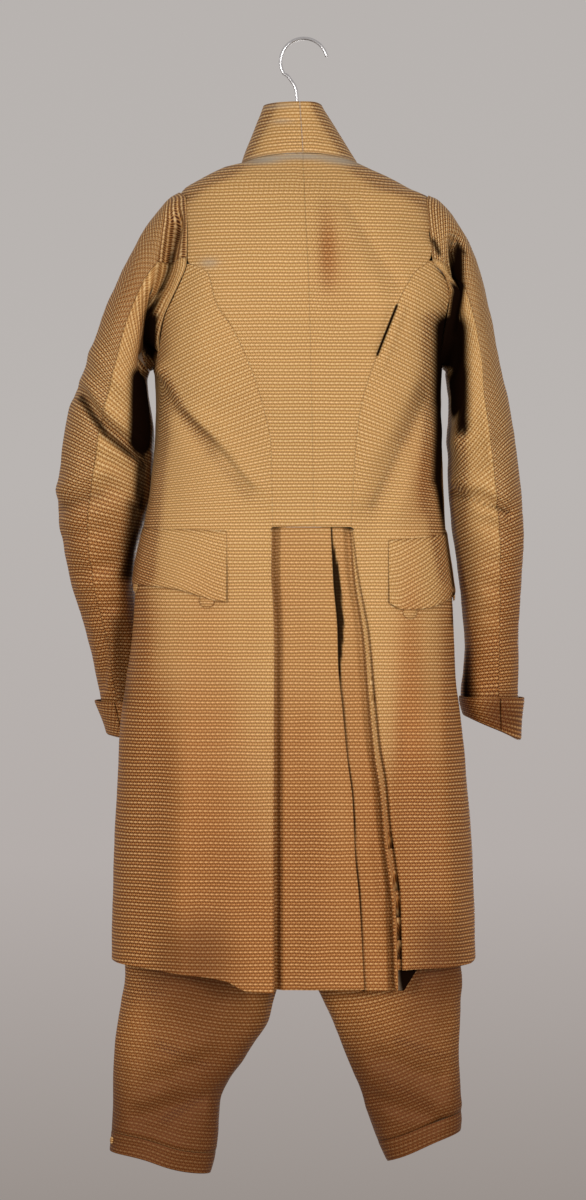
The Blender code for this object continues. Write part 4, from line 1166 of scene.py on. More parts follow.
def front(side):
    angle, depth = front_above_waist(side)
    more_angles, more_depths = front_skirt(side, angle[WAIST_ROW], depth[WAIST_ROW])
    angle, depth = np.vstack([angle, more_angles]), np.vstack([depth, more_depths])
    points, normal = torso(angle, depth), outward(torso, angle, depth)
    points = points + normal * creases(BODY_CREASES, points)[..., None]
    weave = front_weave(side, angle, depth, points)

    # The pleats' columns come before the rest, with blank cells above the waist that are cut away.
    levels = depth[WAIST_ROW:, 0].copy()
    levels[0] += 1.5
    pleats = pleat_points(side, levels)
    pleat_cols = pleats.shape[1]
    length = np.linalg.norm(np.diff(pleats, axis=1, append=points[WAIST_ROW:, :1]), axis=-1)
    pleat_u = weave[WAIST_ROW:, :1, 0] - np.cumsum(length[:, ::-1], 1)[:, ::-1] * MM * side
    pleat_v = np.broadcast_to(weave[WAIST_ROW:, :1, 1], pleat_u.shape)
    pleat_normal = side * np.cross(np.array([0, 0, -1.0]), np.gradient(pleats, axis=1))
    pleat_normal /= np.linalg.norm(pleat_normal, axis=-1, keepdims=True)
    blank = np.zeros((WAIST_ROW, pleat_cols, 3))
    points = np.hstack([np.vstack([blank + pleats[0], pleats]), points])
    normal = np.hstack([np.vstack([blank + pleat_normal[0], pleat_normal]), normal])
    weave = np.hstack([np.vstack([blank[..., :2], np.stack([pleat_u, pleat_v], -1)]), weave])
    cut = np.zeros(points.shape[:2], bool)
    cut[:WAIST_ROW, :pleat_cols] = True
    cut[:HORN_TOP, pleat_cols : pleat_cols + HORN_COLS] = True
    cut[:UNDERARM_ROW, pleat_cols + HORN_COLS : pleat_cols + FIRST] = True

    # The turned-under cloth lies in the dark and is painted with near-black shade, apart from its two folds,
    # and is smooth.
    pleat_shade = np.zeros(points.shape[1])
    pleat_shade[:pleat_cols] = 1
    pleat_shade[len(UNDER_SHARES) : len(UNDER_SHARES) + FOLD_COLS] = 0
    pleat_shade[pleat_cols - FOLD_COLS + 1 : pleat_cols] = 0
    calm = np.zeros(points.shape[:2])
    beside = along_rows(points[:, pleat_cols:])
    calm[:, pleat_cols:] = np.maximum(smooth_step(4, 40, beside), smooth_step(WAIST, WAIST - 12, depth))
    seams = front_seams(points, pleat_cols)
    name = f"coat_front_{side_name(side)}"
    return shell(
        name, points, normal, weave, SILK,
        cut=cut, seam=seams, thick=1.0, uneven=calm, hollow=pleat_shade,
    )


FRONTS = {side: front(side) for side in (-1, 1)}
print("each front has", faces(FRONTS.values()), "faces")

# %% [markdown]
# The back skirts hang from the waist between the pleats. The left laps over the right as the centre
# vent, and each runs on under the pleats, where a tailor leaves cloth to hold them.

# %% The back skirts
SKIRT_CREASES = table(
    "x0 down0 x1 down1 wide height side",
    (10, 640, 14, 1120, 18, 2.0, -1),
    (-12, 640, -14, 1120, 12, -1.5, -1),
    (70, 960, 92, 1080, 5, 1.6, -1),
    (80, 940, 104, 1070, 5, -1.6, -1),
)

SKIRT_TOP = WAIST + SEAM
SUNK_RIGHT = (2.4, 5.0)  # the right back skirt lies this far behind the left, at the waist and below
OPEN_WIDE = 9.0  # the width over which the skirt comes out from under the pleats
VENT_SHADE, VENT_SOFT = 0.85, 2.4  # how dark the vent's recess is, and how soft its edge


def painted_vent_shade(down, away):
    """Painted shade beside the vent's edge: a line, and wider where the vent starts to open."""
    wide = 1.0 + 7.0 * smooth_step(592, 650, down) * smooth_step(780, 690, down)
    return VENT_SHADE * (1 - smooth_step(wide, wide + VENT_SOFT, np.abs(away)))


def back_skirt(side):
    share = np.concatenate([[0, 0.002, 0.005], np.linspace(0.01, 0.985, 126), [0.992, 0.996, 1]])
    down = mix(SKIRT_TOP, BACK_HEM[side], share)
    fold, vent = curve(FOLD[side], "x", down), curve(VENT, "x", down)
    lap = 0.0 if side < 0 else -VENT_LAP
    proud = curve(PLEAT, "proud", down) * max(SECOND_FOLD[side], 0)
    under = fold[:, None] + side * (PLEAT_DEEP - 4) * np.linspace(1, 0, 8)[None]
    open_from = fold - side * (proud + 2.5)
    open_to = open_from - side * OPEN_WIDE
    seen = spread(open_to, vent + lap, shares(80.0, False, True))
    x = np.hstack([under, spread(open_from, open_to, np.linspace(0, 1, 6))[:, :-1], seen])
    bend, nip = curve(PLEAT, "bend", down), curve(PLEAT, "nip", down)
    beneath = 4 * bend + 4 * nip + 0.5
    sink = curve(PANEL_SINK, "sink", down)
    if side > 0:
        sink = sink + mix(*SUNK_RIGHT, smooth_step(0, 0.3, share))
    rise = smooth_step(0, OPEN_WIDE, (open_from[:, None] - x) * side)
    deep = mix(beneath[:, None], sink[:, None], rise)
    level = np.repeat(down[:, None], x.shape[1], 1)
    hem = np.minimum(front_hem(side, under, down[:, None]) - 1.5, BACK_HEM[side])
    hem = mix(hem, BACK_HEM[side], smooth_step(18, 4, np.abs(under - fold[:, None])))
    level[:, : under.shape[1]] = mix(SKIRT_TOP, hem, share[:, None])
    angle = torso_angle(x, level, side)
    normal = outward(torso, angle, level)
    points = torso(angle, level) - normal * deep[..., None]
    push = crease_height(SKIRT_CREASES, points[..., 0], points[..., 1], level)
    weave = np.stack([x, level - WAIST], -1) * MM
    away = x - vent[:, None]
    # Painted shade in the recess beside the vent, on the right skirt only.
    recess = painted_vent_shade(level, away) if side > 0 else 0.0
    calm = rise * smooth_step(0, 30, np.abs(away - lap)) * 0.8
    name = f"coat_back_skirt_{side_name(side)}"
    return shell(
        name, points, normal, weave, SKIRT_SILK, "te",
        uneven=calm, fall=0.7, thick=1.0, hollow=recess, push=push,
    )


BACK_SKIRTS = {side: back_skirt(side) for side in (-1, 1)}
print("the back skirts have", faces(BACK_SKIRTS.values()), "faces")

# %% [markdown]
# The sleeves are cut in two pieces, as coat sleeves were: a top sleeve and a narrower under sleeve
# that meet in a hind seam and a front seam. Each section down the sleeve has its own place, width
# and tilt, so the elbow bends and the weave bends with it.

# %% The sleeves
SLEEVE = {
    -1: table(
        "at outer_x outer_down inner_x inner_down y deep",
        (0, -151, 192, -178, 391, 0, 58),
        (1, -164, 196, -184, 397, 0, 64),
        (2, -188, 224, -186, 400, 2, 68),
        (3, -212, 271, -188, 411, 4, 70),
        (4, -233, 316, -186, 428, 6, 70),
        (5, -248, 354, -182, 450, 8, 69),
        (6, -264, 396, -179, 477, 12, 68),
        (7, -280, 438, -179, 508, 17, 67),
        (8, -291, 498, -181, 544, 24, 66),
        (9, -298, 558, -190, 582, 33, 65),
        (10, -290, 612, -202, 624, 44, 62),
        (11, -276, 672, -204, 672, 57, 58),
        (12, -262, 720, -197, 720, 70, 53),
        (13, -251, 780, -193, 782, 88, 48),
        (14, -240, 836, -183, 847, 101, 46),
    ),
    1: table(
        "at outer_x outer_down inner_x inner_down y deep",
        (0, 150, 192, 165, 391, 0, 58),
        (1, 168, 203, 176, 397, 0, 63),
        (2, 190, 230, 179, 402, 2, 66),
        (3, 204, 258, 182, 417, 4, 68),
        (4, 216, 298, 184, 436, 5, 69),
        (5, 226, 340, 184, 460, 7, 69),
        (6, 235, 390, 178, 492, 9, 68),
        (7, 245, 432, 175, 518, 12, 67),
        (8, 253, 480, 176, 548, 15, 66),
        (9, 260, 534, 178, 582, 20, 64),
        (10, 264, 588, 184, 624, 27, 61),
        (11, 262, 654, 190, 672, 36, 56),
        (12, 260, 720, 194, 728, 46, 51),
        (13, 260, 776, 192, 780, 56, 47),
        (14, 263, 842, 195, 812, 62, 46),
    ),
}
SLEEVE_CREASES = table(
    "x0 down0 x1 down1 wide height side",
    (-268, 425, -234, 470, 8, -11, -1),
    (-234, 470, -190, 500, 8, -11, -1),
    (-262, 412, -228, 455, 7, 3, -1),
    (-228, 455, -196, 478, 7, 3, -1),
    (-292, 563, -228, 540, 10, -6, -1),
    (-290, 540, -240, 515, 9, 4, -1),
    (-286, 600, -236, 588, 8, -3, -1),
    (-272, 640, -226, 628, 6, -4, -1),
    (-268, 655, -230, 648, 6, 2.5, -1),
    (-262, 690, -222, 676, 6, -3, -1),
    (-240, 724, -246, 778, 7, -6, -1),
    (-222, 720, -226, 780, 8, -3, -1),
    (-258, 500, -205, 520, 8, -4, -1),
    (-250, 380, -215, 420, 9, 3, -1),
    (-196, 330, -236, 392, 9, -2, -1),
    (-151, 221, -169, 319, 8, -22, -1),
    (-176, 318, -181, 396, 9, -26, -1),
    (174, 542, 210, 552, 5, -6, -1),
    (210, 552, 246, 570, 5, -7, -1),
    (180, 528, 240, 550, 6, 3.5, -1),
    (200, 500, 244, 480, 8, -3, -1),
    (210, 440, 222, 500, 8, 3, -1),
    (196, 470, 204, 520, 8, -3, -1),
    (214, 580, 246, 595, 7, -4, -1),
    (211, 624, 253, 631, 5, -2.5, -1),
    (216, 654, 257, 665, 5, -2.5, -1),
    (209, 686, 250, 698, 5, -2.2, -1),
    (214, 715, 250, 720, 5, -2.0, -1),
    (181, 250, 174, 350, 9, -24, -1),
    (174, 350, 177, 396, 9, -16, -1),
    (184, 400, 187, 480, 16, 9, 0),
    (190, 330, 188, 400, 8, 4, -1),
)
HIND_SEAM = 0.42  # in half circles from the outer edge
SLEEVE_SPANS = {"top": (-HIND_SEAM, HIND_SEAM), "under": (HIND_SEAM, 2 - HIND_SEAM)}
SLEEVE_WIDE = {"top": 110.0, "under": 90.0}
# Painted brown and shade: the top sleeve faces outwards, away from the lights, and is turned cloth all over.
SLEEVE_TURNED = {"top": 0.75, "under": 0.0}  # how brown a whole sleeve piece is, at least
SLEEVE_END = 1400.0  # in hundredths of the sleeve's sections, as is the next
SLEEVE_CLEAR = 0.6
SLEEVE_LEAN = 12.0  # a sleeve's inner edge lies this far before its middle, the outer one behind
CUFF_START = 1323.0


def armhole_point(side, turn):
    down = mix(SHOULDER, UNDERARM, (1 - np.cos(turn)) / 2)
    behind = torso(torso_angle(curve(ARMHOLE[side], "behind", down), down, side), down)
    before = torso(torso_angle(curve(ARMHOLE[side], "before", down), down, side, 1), down)
    return np.where((np.sin(turn) >= 0)[..., None], behind, before) + np.array([side * SLEEVE_CLEAR, 0, 0])


def sleeve(side):
    """A surface of the turn round the sleeve, 0 outside, and hundredths of a section down it."""
    rows = SLEEVE[side]

    def surface(turn, hundredths):
        at = hundredths / 100
        columns = (curve(rows, name, at, "at") for name in list(rows)[1:])
        outer_x, outer_down, inner_x, inner_down, y, deep = columns
        c, s = np.cos(turn), np.sin(turn)
        reach = (np.abs(c) ** SLEEVE_ROUND + np.abs(s) ** SLEEVE_ROUND) ** (-1 / SLEEVE_ROUND)
        along = (1 - reach * c) / 2
        x, down = mix(outer_x, inner_x, along), mix(outer_down, inner_down, along)
        lean = SLEEVE_LEAN * smooth_step(1, 4, at) * smooth_step(12, 9, at) * reach * c
        points = np.stack(np.broadcast_arrays(x, y - deep * reach * s - lean, -down), -1)
        return mix(armhole_point(side, turn), points, np.clip(at, 0, 1)[..., None])

    return surface


HEAD_RISE = {-1: 7.0, 1: 4.0}  # the gathered sleeve head stands up to the shoulder


def sleeve_piece(side, name):
    surface = sleeve(side)
    part = shares(SLEEVE_WIDE[name], pitch=FINE_PITCH)
    turn = mix(*SLEEVE_SPANS[name], part) * math.pi
    stations = np.concatenate([[1, 4, 8, 14], np.arange(22.0, 1380, 9.0), [1388, 1394, SLEEVE_END]])
    a, b = np.meshgrid(turn, stations)
    points, normal = surface(a, b), outward(surface, a, b, -side)
    near_neck = smooth_step(174, 150, np.abs(points[..., 0])) * smooth_step(228, 195, -points[..., 2])
    points[..., 2] += HEAD_RISE[side] * near_neck
    middle = curve(SLEEVE[side], "y", b / 100, "at")
    push = creases(SLEEVE_CREASES, points, middle) * smooth_step(0, 60, b)
    return shell(
        f"coat_{name}_sleeve_{side_name(side)}", points, normal, unroll(points, len(turn) // 2), SILK, "set",
        uneven=1.7, push=push, middle=middle, turned=SLEEVE_TURNED[name],
    )


SLEEVES = [sleeve_piece(side, name) for side in (-1, 1) for name in ("top", "under")]
print("the sleeves have", faces(SLEEVES), "faces")

# %% [markdown]
# The cuffs are bands turned back over the sleeves' ends. They rest on the sleeve at the wrist and
# stand off at their upper edge.

# %% The cuffs
def cuff(side):
    surface = sleeve(side)
    part = shares(200.0)
    turn = mix(HIND_SEAM - 2 + 0.003, HIND_SEAM - 0.003, part) * math.pi
    fall = np.concatenate([[0, 0.03, 0.08], np.linspace(0.14, 0.9, 14), [0.95, 1]])
    a, b = np.meshgrid(turn, mix(CUFF_START, SLEEVE_END, fall))
    lift = 1.5 + 4.0 * (1 - fall[:, None]) * (1.2 + 0.5 * np.cos(a))
    normal = outward(surface, a, b, -side)
    points = surface(a, b) + normal * lift[..., None]
    weave = unroll(points, len(part) // 2)
    return shell(f"coat_cuff_{side_name(side)}", points, normal, weave, SILK, "setb", fall=0.9)


CUFFS = {side: cuff(side) for side in (-1, 1)}
print("the cuffs have", faces(CUFFS.values()), "faces")

# %% [markdown]
# The collar stands high at the nape and falls towards the centre front. It is cut in two halves, so
# the figured rows meet in its centre seam, and its top edge is turned in.

# %% The collar
COLLAR_TOP = {"left": -49.0, "right": 22.0, "back": 45.0, "front": 44.0, "down": 79.5, "front_down": 150.0}
COLLAR_SEAM = -5.0  # x of the centre back at the collar's top
COLLAR_CREASES = table(
    "x0 down0 x1 down1 wide height side",
    (-45, 100, -8, 103, 5, -1.2, -1),
    (-50, 121, 10, 122, 7, 1.0, -1),
)


def neck_point(side, share):
    rear = np.clip(share * 2, 0, 1)
    fore = np.clip(share * 2 - 1, 0, 1) * math.pi / 2
    wide = curve(TORSO, side_name(side), NECK_SIDE)
    down_rear = NECK_BACK + rear**2 * (NECK_SIDE - NECK_BACK)
    down_fore = NECK_SIDE + (NECK_FRONT - NECK_SIDE) * np.sin(fore)
    behind = torso(torso_angle(mix(NECK_CENTRE, wide, rear), down_rear, side), down_rear)
    before = torso(torso_angle(wide * np.cos(fore), down_fore, side, 1), down_fore)
    return np.where((share <= 0.5)[..., None], behind, before)


def collar_point(side, share, height):
    turn = share * math.pi
    middle = (COLLAR_TOP["left"] + COLLAR_TOP["right"]) / 2
    half = (COLLAR_TOP["right"] - COLLAR_TOP["left"]) / 2
    deep = np.where(turn < math.pi / 2, COLLAR_TOP["back"], COLLAR_TOP["front"])
    fore = np.clip(share * 2 - 1, 0, 1) ** 1.5
    down = mix(COLLAR_TOP["down"], COLLAR_TOP["front_down"], fore)
    x = middle + side * half * np.sin(turn) ** 0.9 + (COLLAR_SEAM - middle) * np.clip(np.cos(turn), 0, 1) ** 3
    top = np.stack(np.broadcast_arrays(x, -deep * np.cos(turn), -down), -1)
    return mix(neck_point(side, share), top, (height / 100)[..., None])


def collar(side):
    share = mix(0.001, 0.985, shares(190.0, pitch=FINE_PITCH))
    height = np.concatenate([[0.7, 2, 4, 7], np.linspace(11, 94, 20), [97, 100]])
    a, b = np.meshgrid(share, height)
    points = collar_point(side, a, b)
    along_a = collar_point(side, np.clip(a + 1e-3, 0, 1), b) - collar_point(side, np.clip(a - 1e-3, 0, 1), b)
    along_b = collar_point(side, a, np.clip(b + 1, 0, 100)) - collar_point(side, a, np.clip(b - 1, 0, 100))
    normal = side * np.cross(along_a, along_b)
    normal /= np.linalg.norm(normal, axis=-1, keepdims=True)
    points = points + normal * creases(COLLAR_CREASES, points)[..., None]
    return shell(f"coat_collar_{side_name(side)}", points, normal, unroll(points), SILK, "set", uneven=0.9)


COLLARS = {side: collar(side) for side in (-1, 1)}
print("the collar's halves have", faces(COLLARS.values()), "faces")

# %% [markdown]
# The pocket flaps are cut with a scalloped lower edge and lie on the skirts just below the waist.
# Their weave slants, because a flap follows the slant of the pocket and not the coat's rows.

# %% The pocket flaps
FLAP_END = {-1: (-91.0, -205.0), 1: (99.7, 29.0)}  # x of the rear end, angle of the front end
FLAP = {
    -1: table(
        "share top bottom",
        (0, 590, 675),
        (0.08, 590, 673),
        (0.17, 589, 667),
        (0.3, 588, 659),
        (0.45, 587, 655),
        (0.6, 585, 652),
        (0.72, 583, 656),
        (0.85, 581, 647),
        (1, 578, 650),
    ),
    1: table(
        "share top bottom",
        (0, 601, 676),
        (0.08, 600, 684),
        (0.2, 598, 683),
        (0.35, 594, 673),
        (0.5, 590, 664),
        (0.62, 586, 661),
        (0.75, 583, 664),
        (0.88, 580, 655),
        (1, 577, 658),
    ),
}
FLAP_TILT = {-1: 12.0, 1: -22.0}


def flap_grid(side, share, fall):
    """Angles and depths on the coat at shares along the flap and down it."""
    top, bottom = (curve(FLAP[side], name, share, "share") for name in ("top", "bottom"))
    down = mix(top, bottom, fall)
    rear = torso_angle(FLAP_END[side][0], down, side)
    return mix(rear, math.radians(FLAP_END[side][1]), share), down


def flap(side):
    share, fall = np.meshgrid(shares(210.0), np.concatenate([np.linspace(0, 0.9, 22), [0.95, 0.98, 1]]))
    angle, down = flap_grid(side, share, fall)
    lift = 1.7 + 3.0 * fall**1.5
    normal = outward(torso, angle, down)
    points = torso(angle, down) + normal * lift[..., None]
    weave = unroll(points, 0, math.radians(FLAP_TILT[side]) * side)
    name = f"coat_pocket_flap_{side_name(side)}"
    return shell(name, points, normal, weave, SILK, "setb", uneven=0.8, fall=0.8)


FLAPS = {side: flap(side) for side in (-1, 1)}
print("the flaps have", faces(FLAPS.values()), "faces")

# %% [markdown]
# Covered buttons. Each is a low dome of silk drawn over a wooden mould, so it is made from rings of
# one circle operator, bridged and closed. Three peep out under each flap, nine close the front and
# five small ones belong to the knees.

# %% The buttons
BUTTON = 18.0
KNEE_BUTTON = 9.0
DOME = [(0.9, 0.0), (1.0, 0.2), (0.98, 0.42), (0.86, 0.68), (0.62, 0.88), (0.32, 0.98), (0.02, 1.0)]
OFF_SEAM = 0.02  # a distance to the nearest seam at which no shade is left, in metres
FRONT_BUTTONS, FIRST_BUTTON, BUTTON_STEP, BUTTON_INSET = 9, 262.0, 38.0, 15
FLAP_BUTTON_SHARES = (0.12, 0.55, 0.93)


def button(name, centre, direction, size=BUTTON, rise=0.28, seat=SEAM):
    """A dome whose height is rise times its size, seat above the cloth at centre."""
    bm = bmesh.new()
    rings = []
    for share, height in DOME:
        made = bmesh.ops.create_circle(bm, segments=28, radius=share * size / 2 * MM)["verts"]
        for vert in made:
            vert.co.z = height * rise * size * MM
        rings.append([edge for edge in bm.edges if all(v in made for v in edge.verts)])
    for low, high in zip(rings, rings[1:]):
        bmesh.ops.bridge_loops(bm, edges=low + high)
    for edges in (rings[0], rings[-1]):
        bmesh.ops.edgeloop_fill(bm, edges=edges)
    bmesh.ops.recalc_face_normals(bm, faces=bm.faces[:])
    uv = bm.loops.layers.uv.new("weave")
    for face in bm.faces:
        for loop in face.loops:
            loop[uv].uv = loop.vert.co.xy * 1.3
    seam = bm.verts.layers.float.new("seam")
    for vert in bm.verts:
        vert[seam] = OFF_SEAM
    direction = Vector(np.asarray(direction, float))
    turn = direction.to_track_quat("Z", "Y")
    move = Vector(np.asarray(centre, float)) * MM + direction * seat * MM
    for vert in bm.verts:
        vert.co = turn @ vert.co + move
    return piece_from(bm, name, SKIRT_SILK)


def flap_buttons(side):
    made = []
    for i, share in enumerate(FLAP_BUTTON_SHARES, 1):
        angle, down = flap_grid(side, np.array(share), np.array(1.0))
        down = down + 2
        point, normal = torso(angle, down), outward(torso, angle, down)
        made.append(button(f"coat_flap_button_{side_name(side)}_{i}", point, normal, BUTTON, 0.15, 0.9))
    return made


def front_buttons():
    made = []
    for i in range(FRONT_BUTTONS):
        down = np.array(FIRST_BUTTON + i * BUTTON_STEP)
        angle = torso_angle(curve(FRONT_EDGE, "x", down) + BUTTON_INSET, down, 1, 1)
        made.append(button(f"coat_front_button_{i + 1}", torso(angle, down), outward(torso, angle, down)))
    return made


BUTTONS = flap_buttons(-1) + flap_buttons(1) + front_buttons()
print("buttons on the coat:", len(BUTTONS))

# %% [markdown]
# The breeches. Each leg's section is half a ring above the crotch and closes to a whole one below
# it. A back and a front panel make each leg, with a waistband above and a knee band at the end. The
# right leg's slit stands open at the knee.

# %% The breeches' sections
BREECHES_TOP = 700.0
WAISTBAND = 34.0
CROTCH = 1095.0
LEG = {
    -1: table(
        "down outer inner deep y",
        (700, -165, -8, 9, 0),
        (735, -170, -8, 14, 0),
        (800, -188, -8, 34, 0),
        (900, -203, -8, 46, 0),
        (1000, -211, -8, 50, 0),
        (1095, -214, -9, 52, 0),
        (1118, -214, -24, 51, 0),
        (1152, -218, -36, 49, 0),
        (1176, -222, -42, 48, 0),
        (1200, -226, -58, 47, 0),
        (1224, -228, -73, 46, 0),
        (1248, -229, -90, 45, 0),
        (1272, -229, -100, 44, 0),
        (1296, -230, -102, 43, 0),
        (1330, -233, -105, 42, 0),
        (1360, -236, -112, 41, 0),
    ),
    1: table(
        "down outer inner deep y",
        (700, 148, -8, 9, 0),
        (735, 152, -8, 14, 0),
        (800, 163, -8, 34, 0),
        (900, 177, -8, 46, 0),
        (1000, 184, -8, 50, 0),
        (1095, 186, -7, 52, 0),
        (1118, 188, 8, 51, 0),
        (1145, 188, 20, 49, 0),
        (1175, 187, 34, 48, 0),
        (1212, 186, 50, 47, 0),
        (1255, 188, 67, 45, 0),
        (1285, 189, 76, 44, 0),
        (1326, 188, 91, 42, 0),
        (1345, 187, 100, 41, 0),
    ),
}
LEG_END = {-1: (1331.0, 1358.0), 1: (1306.0, 1344.0)}  # outer and inner edge
SLIT = table("down half_gap", (1160, 0), (1185, 3), (1240, 6), (1345, 7))
KNEE_GAP = {-1: 0.02, 1: 0.14}  # half of the knee band's opening, in radians
BAND_SHARE = 0.96
LEG_CREASES = table(
    "x0 down0 x1 down1 wide height side",
    (-110, 1215, -190, 1250, 12, -4.5, -1),
    (-100, 1260, -200, 1285, 11, -3.75, -1),
    (90, 1215, 160, 1240, 12, -4.5, -1),
    (80, 1265, 160, 1290, 11, -3.75, -1),
)
KNEE_BUTTONS_DOWN = (1188.0, 1235.0, 1257.0, 1278.0)
LEFT_BUTTON_DOWN = 1318.0


def leg_ring(side, down):
    """x of the leg's outer edge, half its ring's width, and how much of the inner half it has, 0 to 1."""
    outer, inner = (curve(LEG[side], name, down) for name in ("outer", "inner"))
    split = smooth_step(CROTCH - 90, CROTCH + 12, down)
    inward = np.cos((1 - split) * math.pi / 2) ** (2 / ROUND)
    return outer, np.abs(outer - inner) / (1 + inward), inward


def leg(side):
    """A surface of the angle round the breeches' leg and of the depth below the hook."""

    def surface(angle, down):
        outer, half, _ = leg_ring(side, down)
        x, ring_y, _, _ = ring(angle, half, curve(LEG[side], "deep", down))
        crease = 2.5 * np.sin(down / 21 + np.cos(angle) * 3) * smooth_step(1150, 1230, down) * np.sin(angle)
        y = curve(LEG[side], "y", down) + ring_y + crease
        return np.stack(np.broadcast_arrays(outer - side * half + x, y, -down), -1)

    return surface


def leg_span(side, down, facing):
    """The angles of a leg panel's inner and outer edge at each depth."""
    _, half, inward = leg_ring(side, down)
    edge_y = curve(LEG[side], "deep", down) * np.maximum(1 - inward**ROUND, 0) ** (1 / ROUND)
    inner_angle = np.arctan2(edge_y, half * inward)
    slit = curve(SLIT, "half_gap", down) if side > 0 else 0 * down
    outer_angle = math.pi - slit / half
    if side < 0:
        return facing * inner_angle, facing * outer_angle
    return facing * (math.pi - inner_angle), facing * (math.pi - outer_angle)


def leg_depths(side, share, angle):
    """Depths from below the waistband to the leg's slanting end."""
    outer_end, inner_end = LEG_END[side]
    end = mix(outer_end, inner_end, (1 - side * np.cos(angle)) / 2)
    return mix(BREECHES_TOP + WAISTBAND, end, share)


print("the left leg is", 2 * float(leg_ring(-1, 1300.0)[1]), "mm wide at the knee")

# %% [markdown]
# The pieces of the breeches. A leg ends on a slant, so its rows are shares of the way from the
# waistband to that end. The waistband and the knee bands are short bands on the same surface, with
# small covered buttons at the knees.

# %% The breeches' pieces
def leg_piece(side, name, facing):
    part = shares(200.0)
    rows = []
    for share in np.concatenate([[0.0003], np.linspace(0.01, 0.95, 138), [BAND_SHARE]]):
        angle = np.full(len(part), facing * math.pi / 2)
        for _ in range(3):  # the end slants, so depth and angle are settled together
            down = leg_depths(side, share, angle)
            inner, outer = leg_span(side, down, facing)
            angle = mix(inner, outer, part)
        rows.append((angle, leg_depths(side, share, angle)))
    angle, down = (np.array(column) for column in zip(*rows))
    surface = leg(side)
    points, normal = surface(angle, down), outward(surface, angle, down)
    points = points + normal * creases(LEG_CREASES, points)[..., None]
    weave = unroll(points, len(part) // 2)
    return shell(f"breeches_{name}_{side_name(side)}", points, normal, weave, SKIRT_SILK, "seb", uneven=2.5)


def waistband(side):
    rows = []
    for at in BREECHES_TOP + WAISTBAND * np.linspace(0, 1, 9):
        start = float(leg_span(side, np.array([at]), 1)[0][0])
        end = float(leg_span(side, np.array([at]), -1)[0][0]) + (2 * math.pi if side < 0 else 0)
        rows.append((np.linspace(start, end, 80), np.full(80, at)))
    angle, down = (np.array(column) for column in zip(*rows))
    points, normal = leg(side)(angle, down), outward(leg(side), angle, down)
    name = f"breeches_waistband_{side_name(side)}"
    return shell(name, points, normal, unroll(points), SKIRT_SILK, "tb", uneven=0.5)


def knee_band(side):
    start = math.pi if side < 0 else 0.0
    angle = np.linspace(start + KNEE_GAP[side], start + 2 * math.pi - KNEE_GAP[side], 90)
    top, end = leg_depths(side, BAND_SHARE, angle), leg_depths(side, 1.0, angle)
    rows = (0.01, 0.06, 0.12, 0.2, 0.35, 0.5, 0.65, 0.8, 0.9, 0.96, 1)
    down = np.array([mix(top, end, share) for share in rows])
    angle = np.repeat(angle[None], len(down), 0)
    points, normal = leg(side)(angle, down), outward(leg(side), angle, down)
    name = f"breeches_knee_band_{side_name(side)}"
    return shell(name, points, normal, unroll(points), SKIRT_SILK, "tb", uneven=0.6)


LEGS = {
    side: [leg_piece(side, "back", -1), leg_piece(side, "front", 1), waistband(side), knee_band(side)]
    for side in (-1, 1)
}
for i, down in enumerate(KNEE_BUTTONS_DOWN, 1):
    at = leg_span(1, np.array(down), 1)[1] + 0.14, np.array(down)
    button(f"breeches_knee_button_right_{i}", leg(1)(*at), outward(leg(1), *at), KNEE_BUTTON, 0.28, -0.8)
at = np.array(-math.pi + 0.25), np.array(LEFT_BUTTON_DOWN)
button("breeches_knee_button_left", leg(-1)(*at), outward(leg(-1), *at), KNEE_BUTTON, 0.28, -0.6)
print("the breeches have", sum(sum(faces(pieces)) for pieces in LEGS.values()), "faces")

# %% [markdown]
# The hanger. Its hook is bent from bright 4 mm wire: most of a circle, a sharp bend back to the
# middle, and a straight shank into the collar. A grid rolled round the wire's path gives its skin.
# The bar, the drop wire and the clips are right as solids, so they keep their shape and get a finish.

# %% The hanger
WIRE = 4.0
HOOK_RADIUS = 28.0
HOOK_TURN = (12, 210)  # degrees, from the hook's tip round to the bend
SHANK_X = -8.4
SHANK = table("down x", (43, -19.5), (49, -15), (55, -11), (62, SHANK_X - 0.6), (72, SHANK_X), (156, SHANK_X))


def wire(name, points, radius, finish, turns=20):
    """A round wire whose rings stand square to the smoothed path through points."""
    path = np.array(points, float)
    along = np.gradient(path, axis=0)
    along /= np.linalg.norm(along, axis=1, keepdims=True)
    across = np.array([0.0, 1.0, 0.0])
    side = np.cross(along, across)
    side /= np.linalg.norm(side, axis=1, keepdims=True)
    turn = np.linspace(0, 2 * math.pi, turns + 1)
    c, s = np.cos(turn)[None, :, None], np.sin(turn)[None, :, None]
    grid = path[:, None] + radius * (c * side[:, None] + s * across)
    bm = bmesh.new()
    bmesh.ops.create_grid(bm, x_segments=turns, y_segments=len(path) - 1, size=1)
    for vert, place in zip(bm.verts, grid.reshape(-1, 3)):
        vert.co = place * MM
    bmesh.ops.remove_doubles(bm, verts=bm.verts[:], dist=1e-7)
    bmesh.ops.holes_fill(bm, edges=[edge for edge in bm.edges if edge.is_boundary], sides=0)
    bmesh.ops.recalc_face_normals(bm, faces=bm.faces[:])
    return piece_from(bm, name, finish)


def hook_path():
    seat = HOOK_RADIUS - WIRE / 2
    turn = np.radians(np.linspace(*HOOK_TURN, 60))
    bend = [(HOOK_RADIUS * math.cos(t), 0, -seat + HOOK_RADIUS * math.sin(t)) for t in turn]
    return bend + [(float(curve(SHANK, "x", down)), 0, -down) for down in np.arange(43, 157, 1.5)]


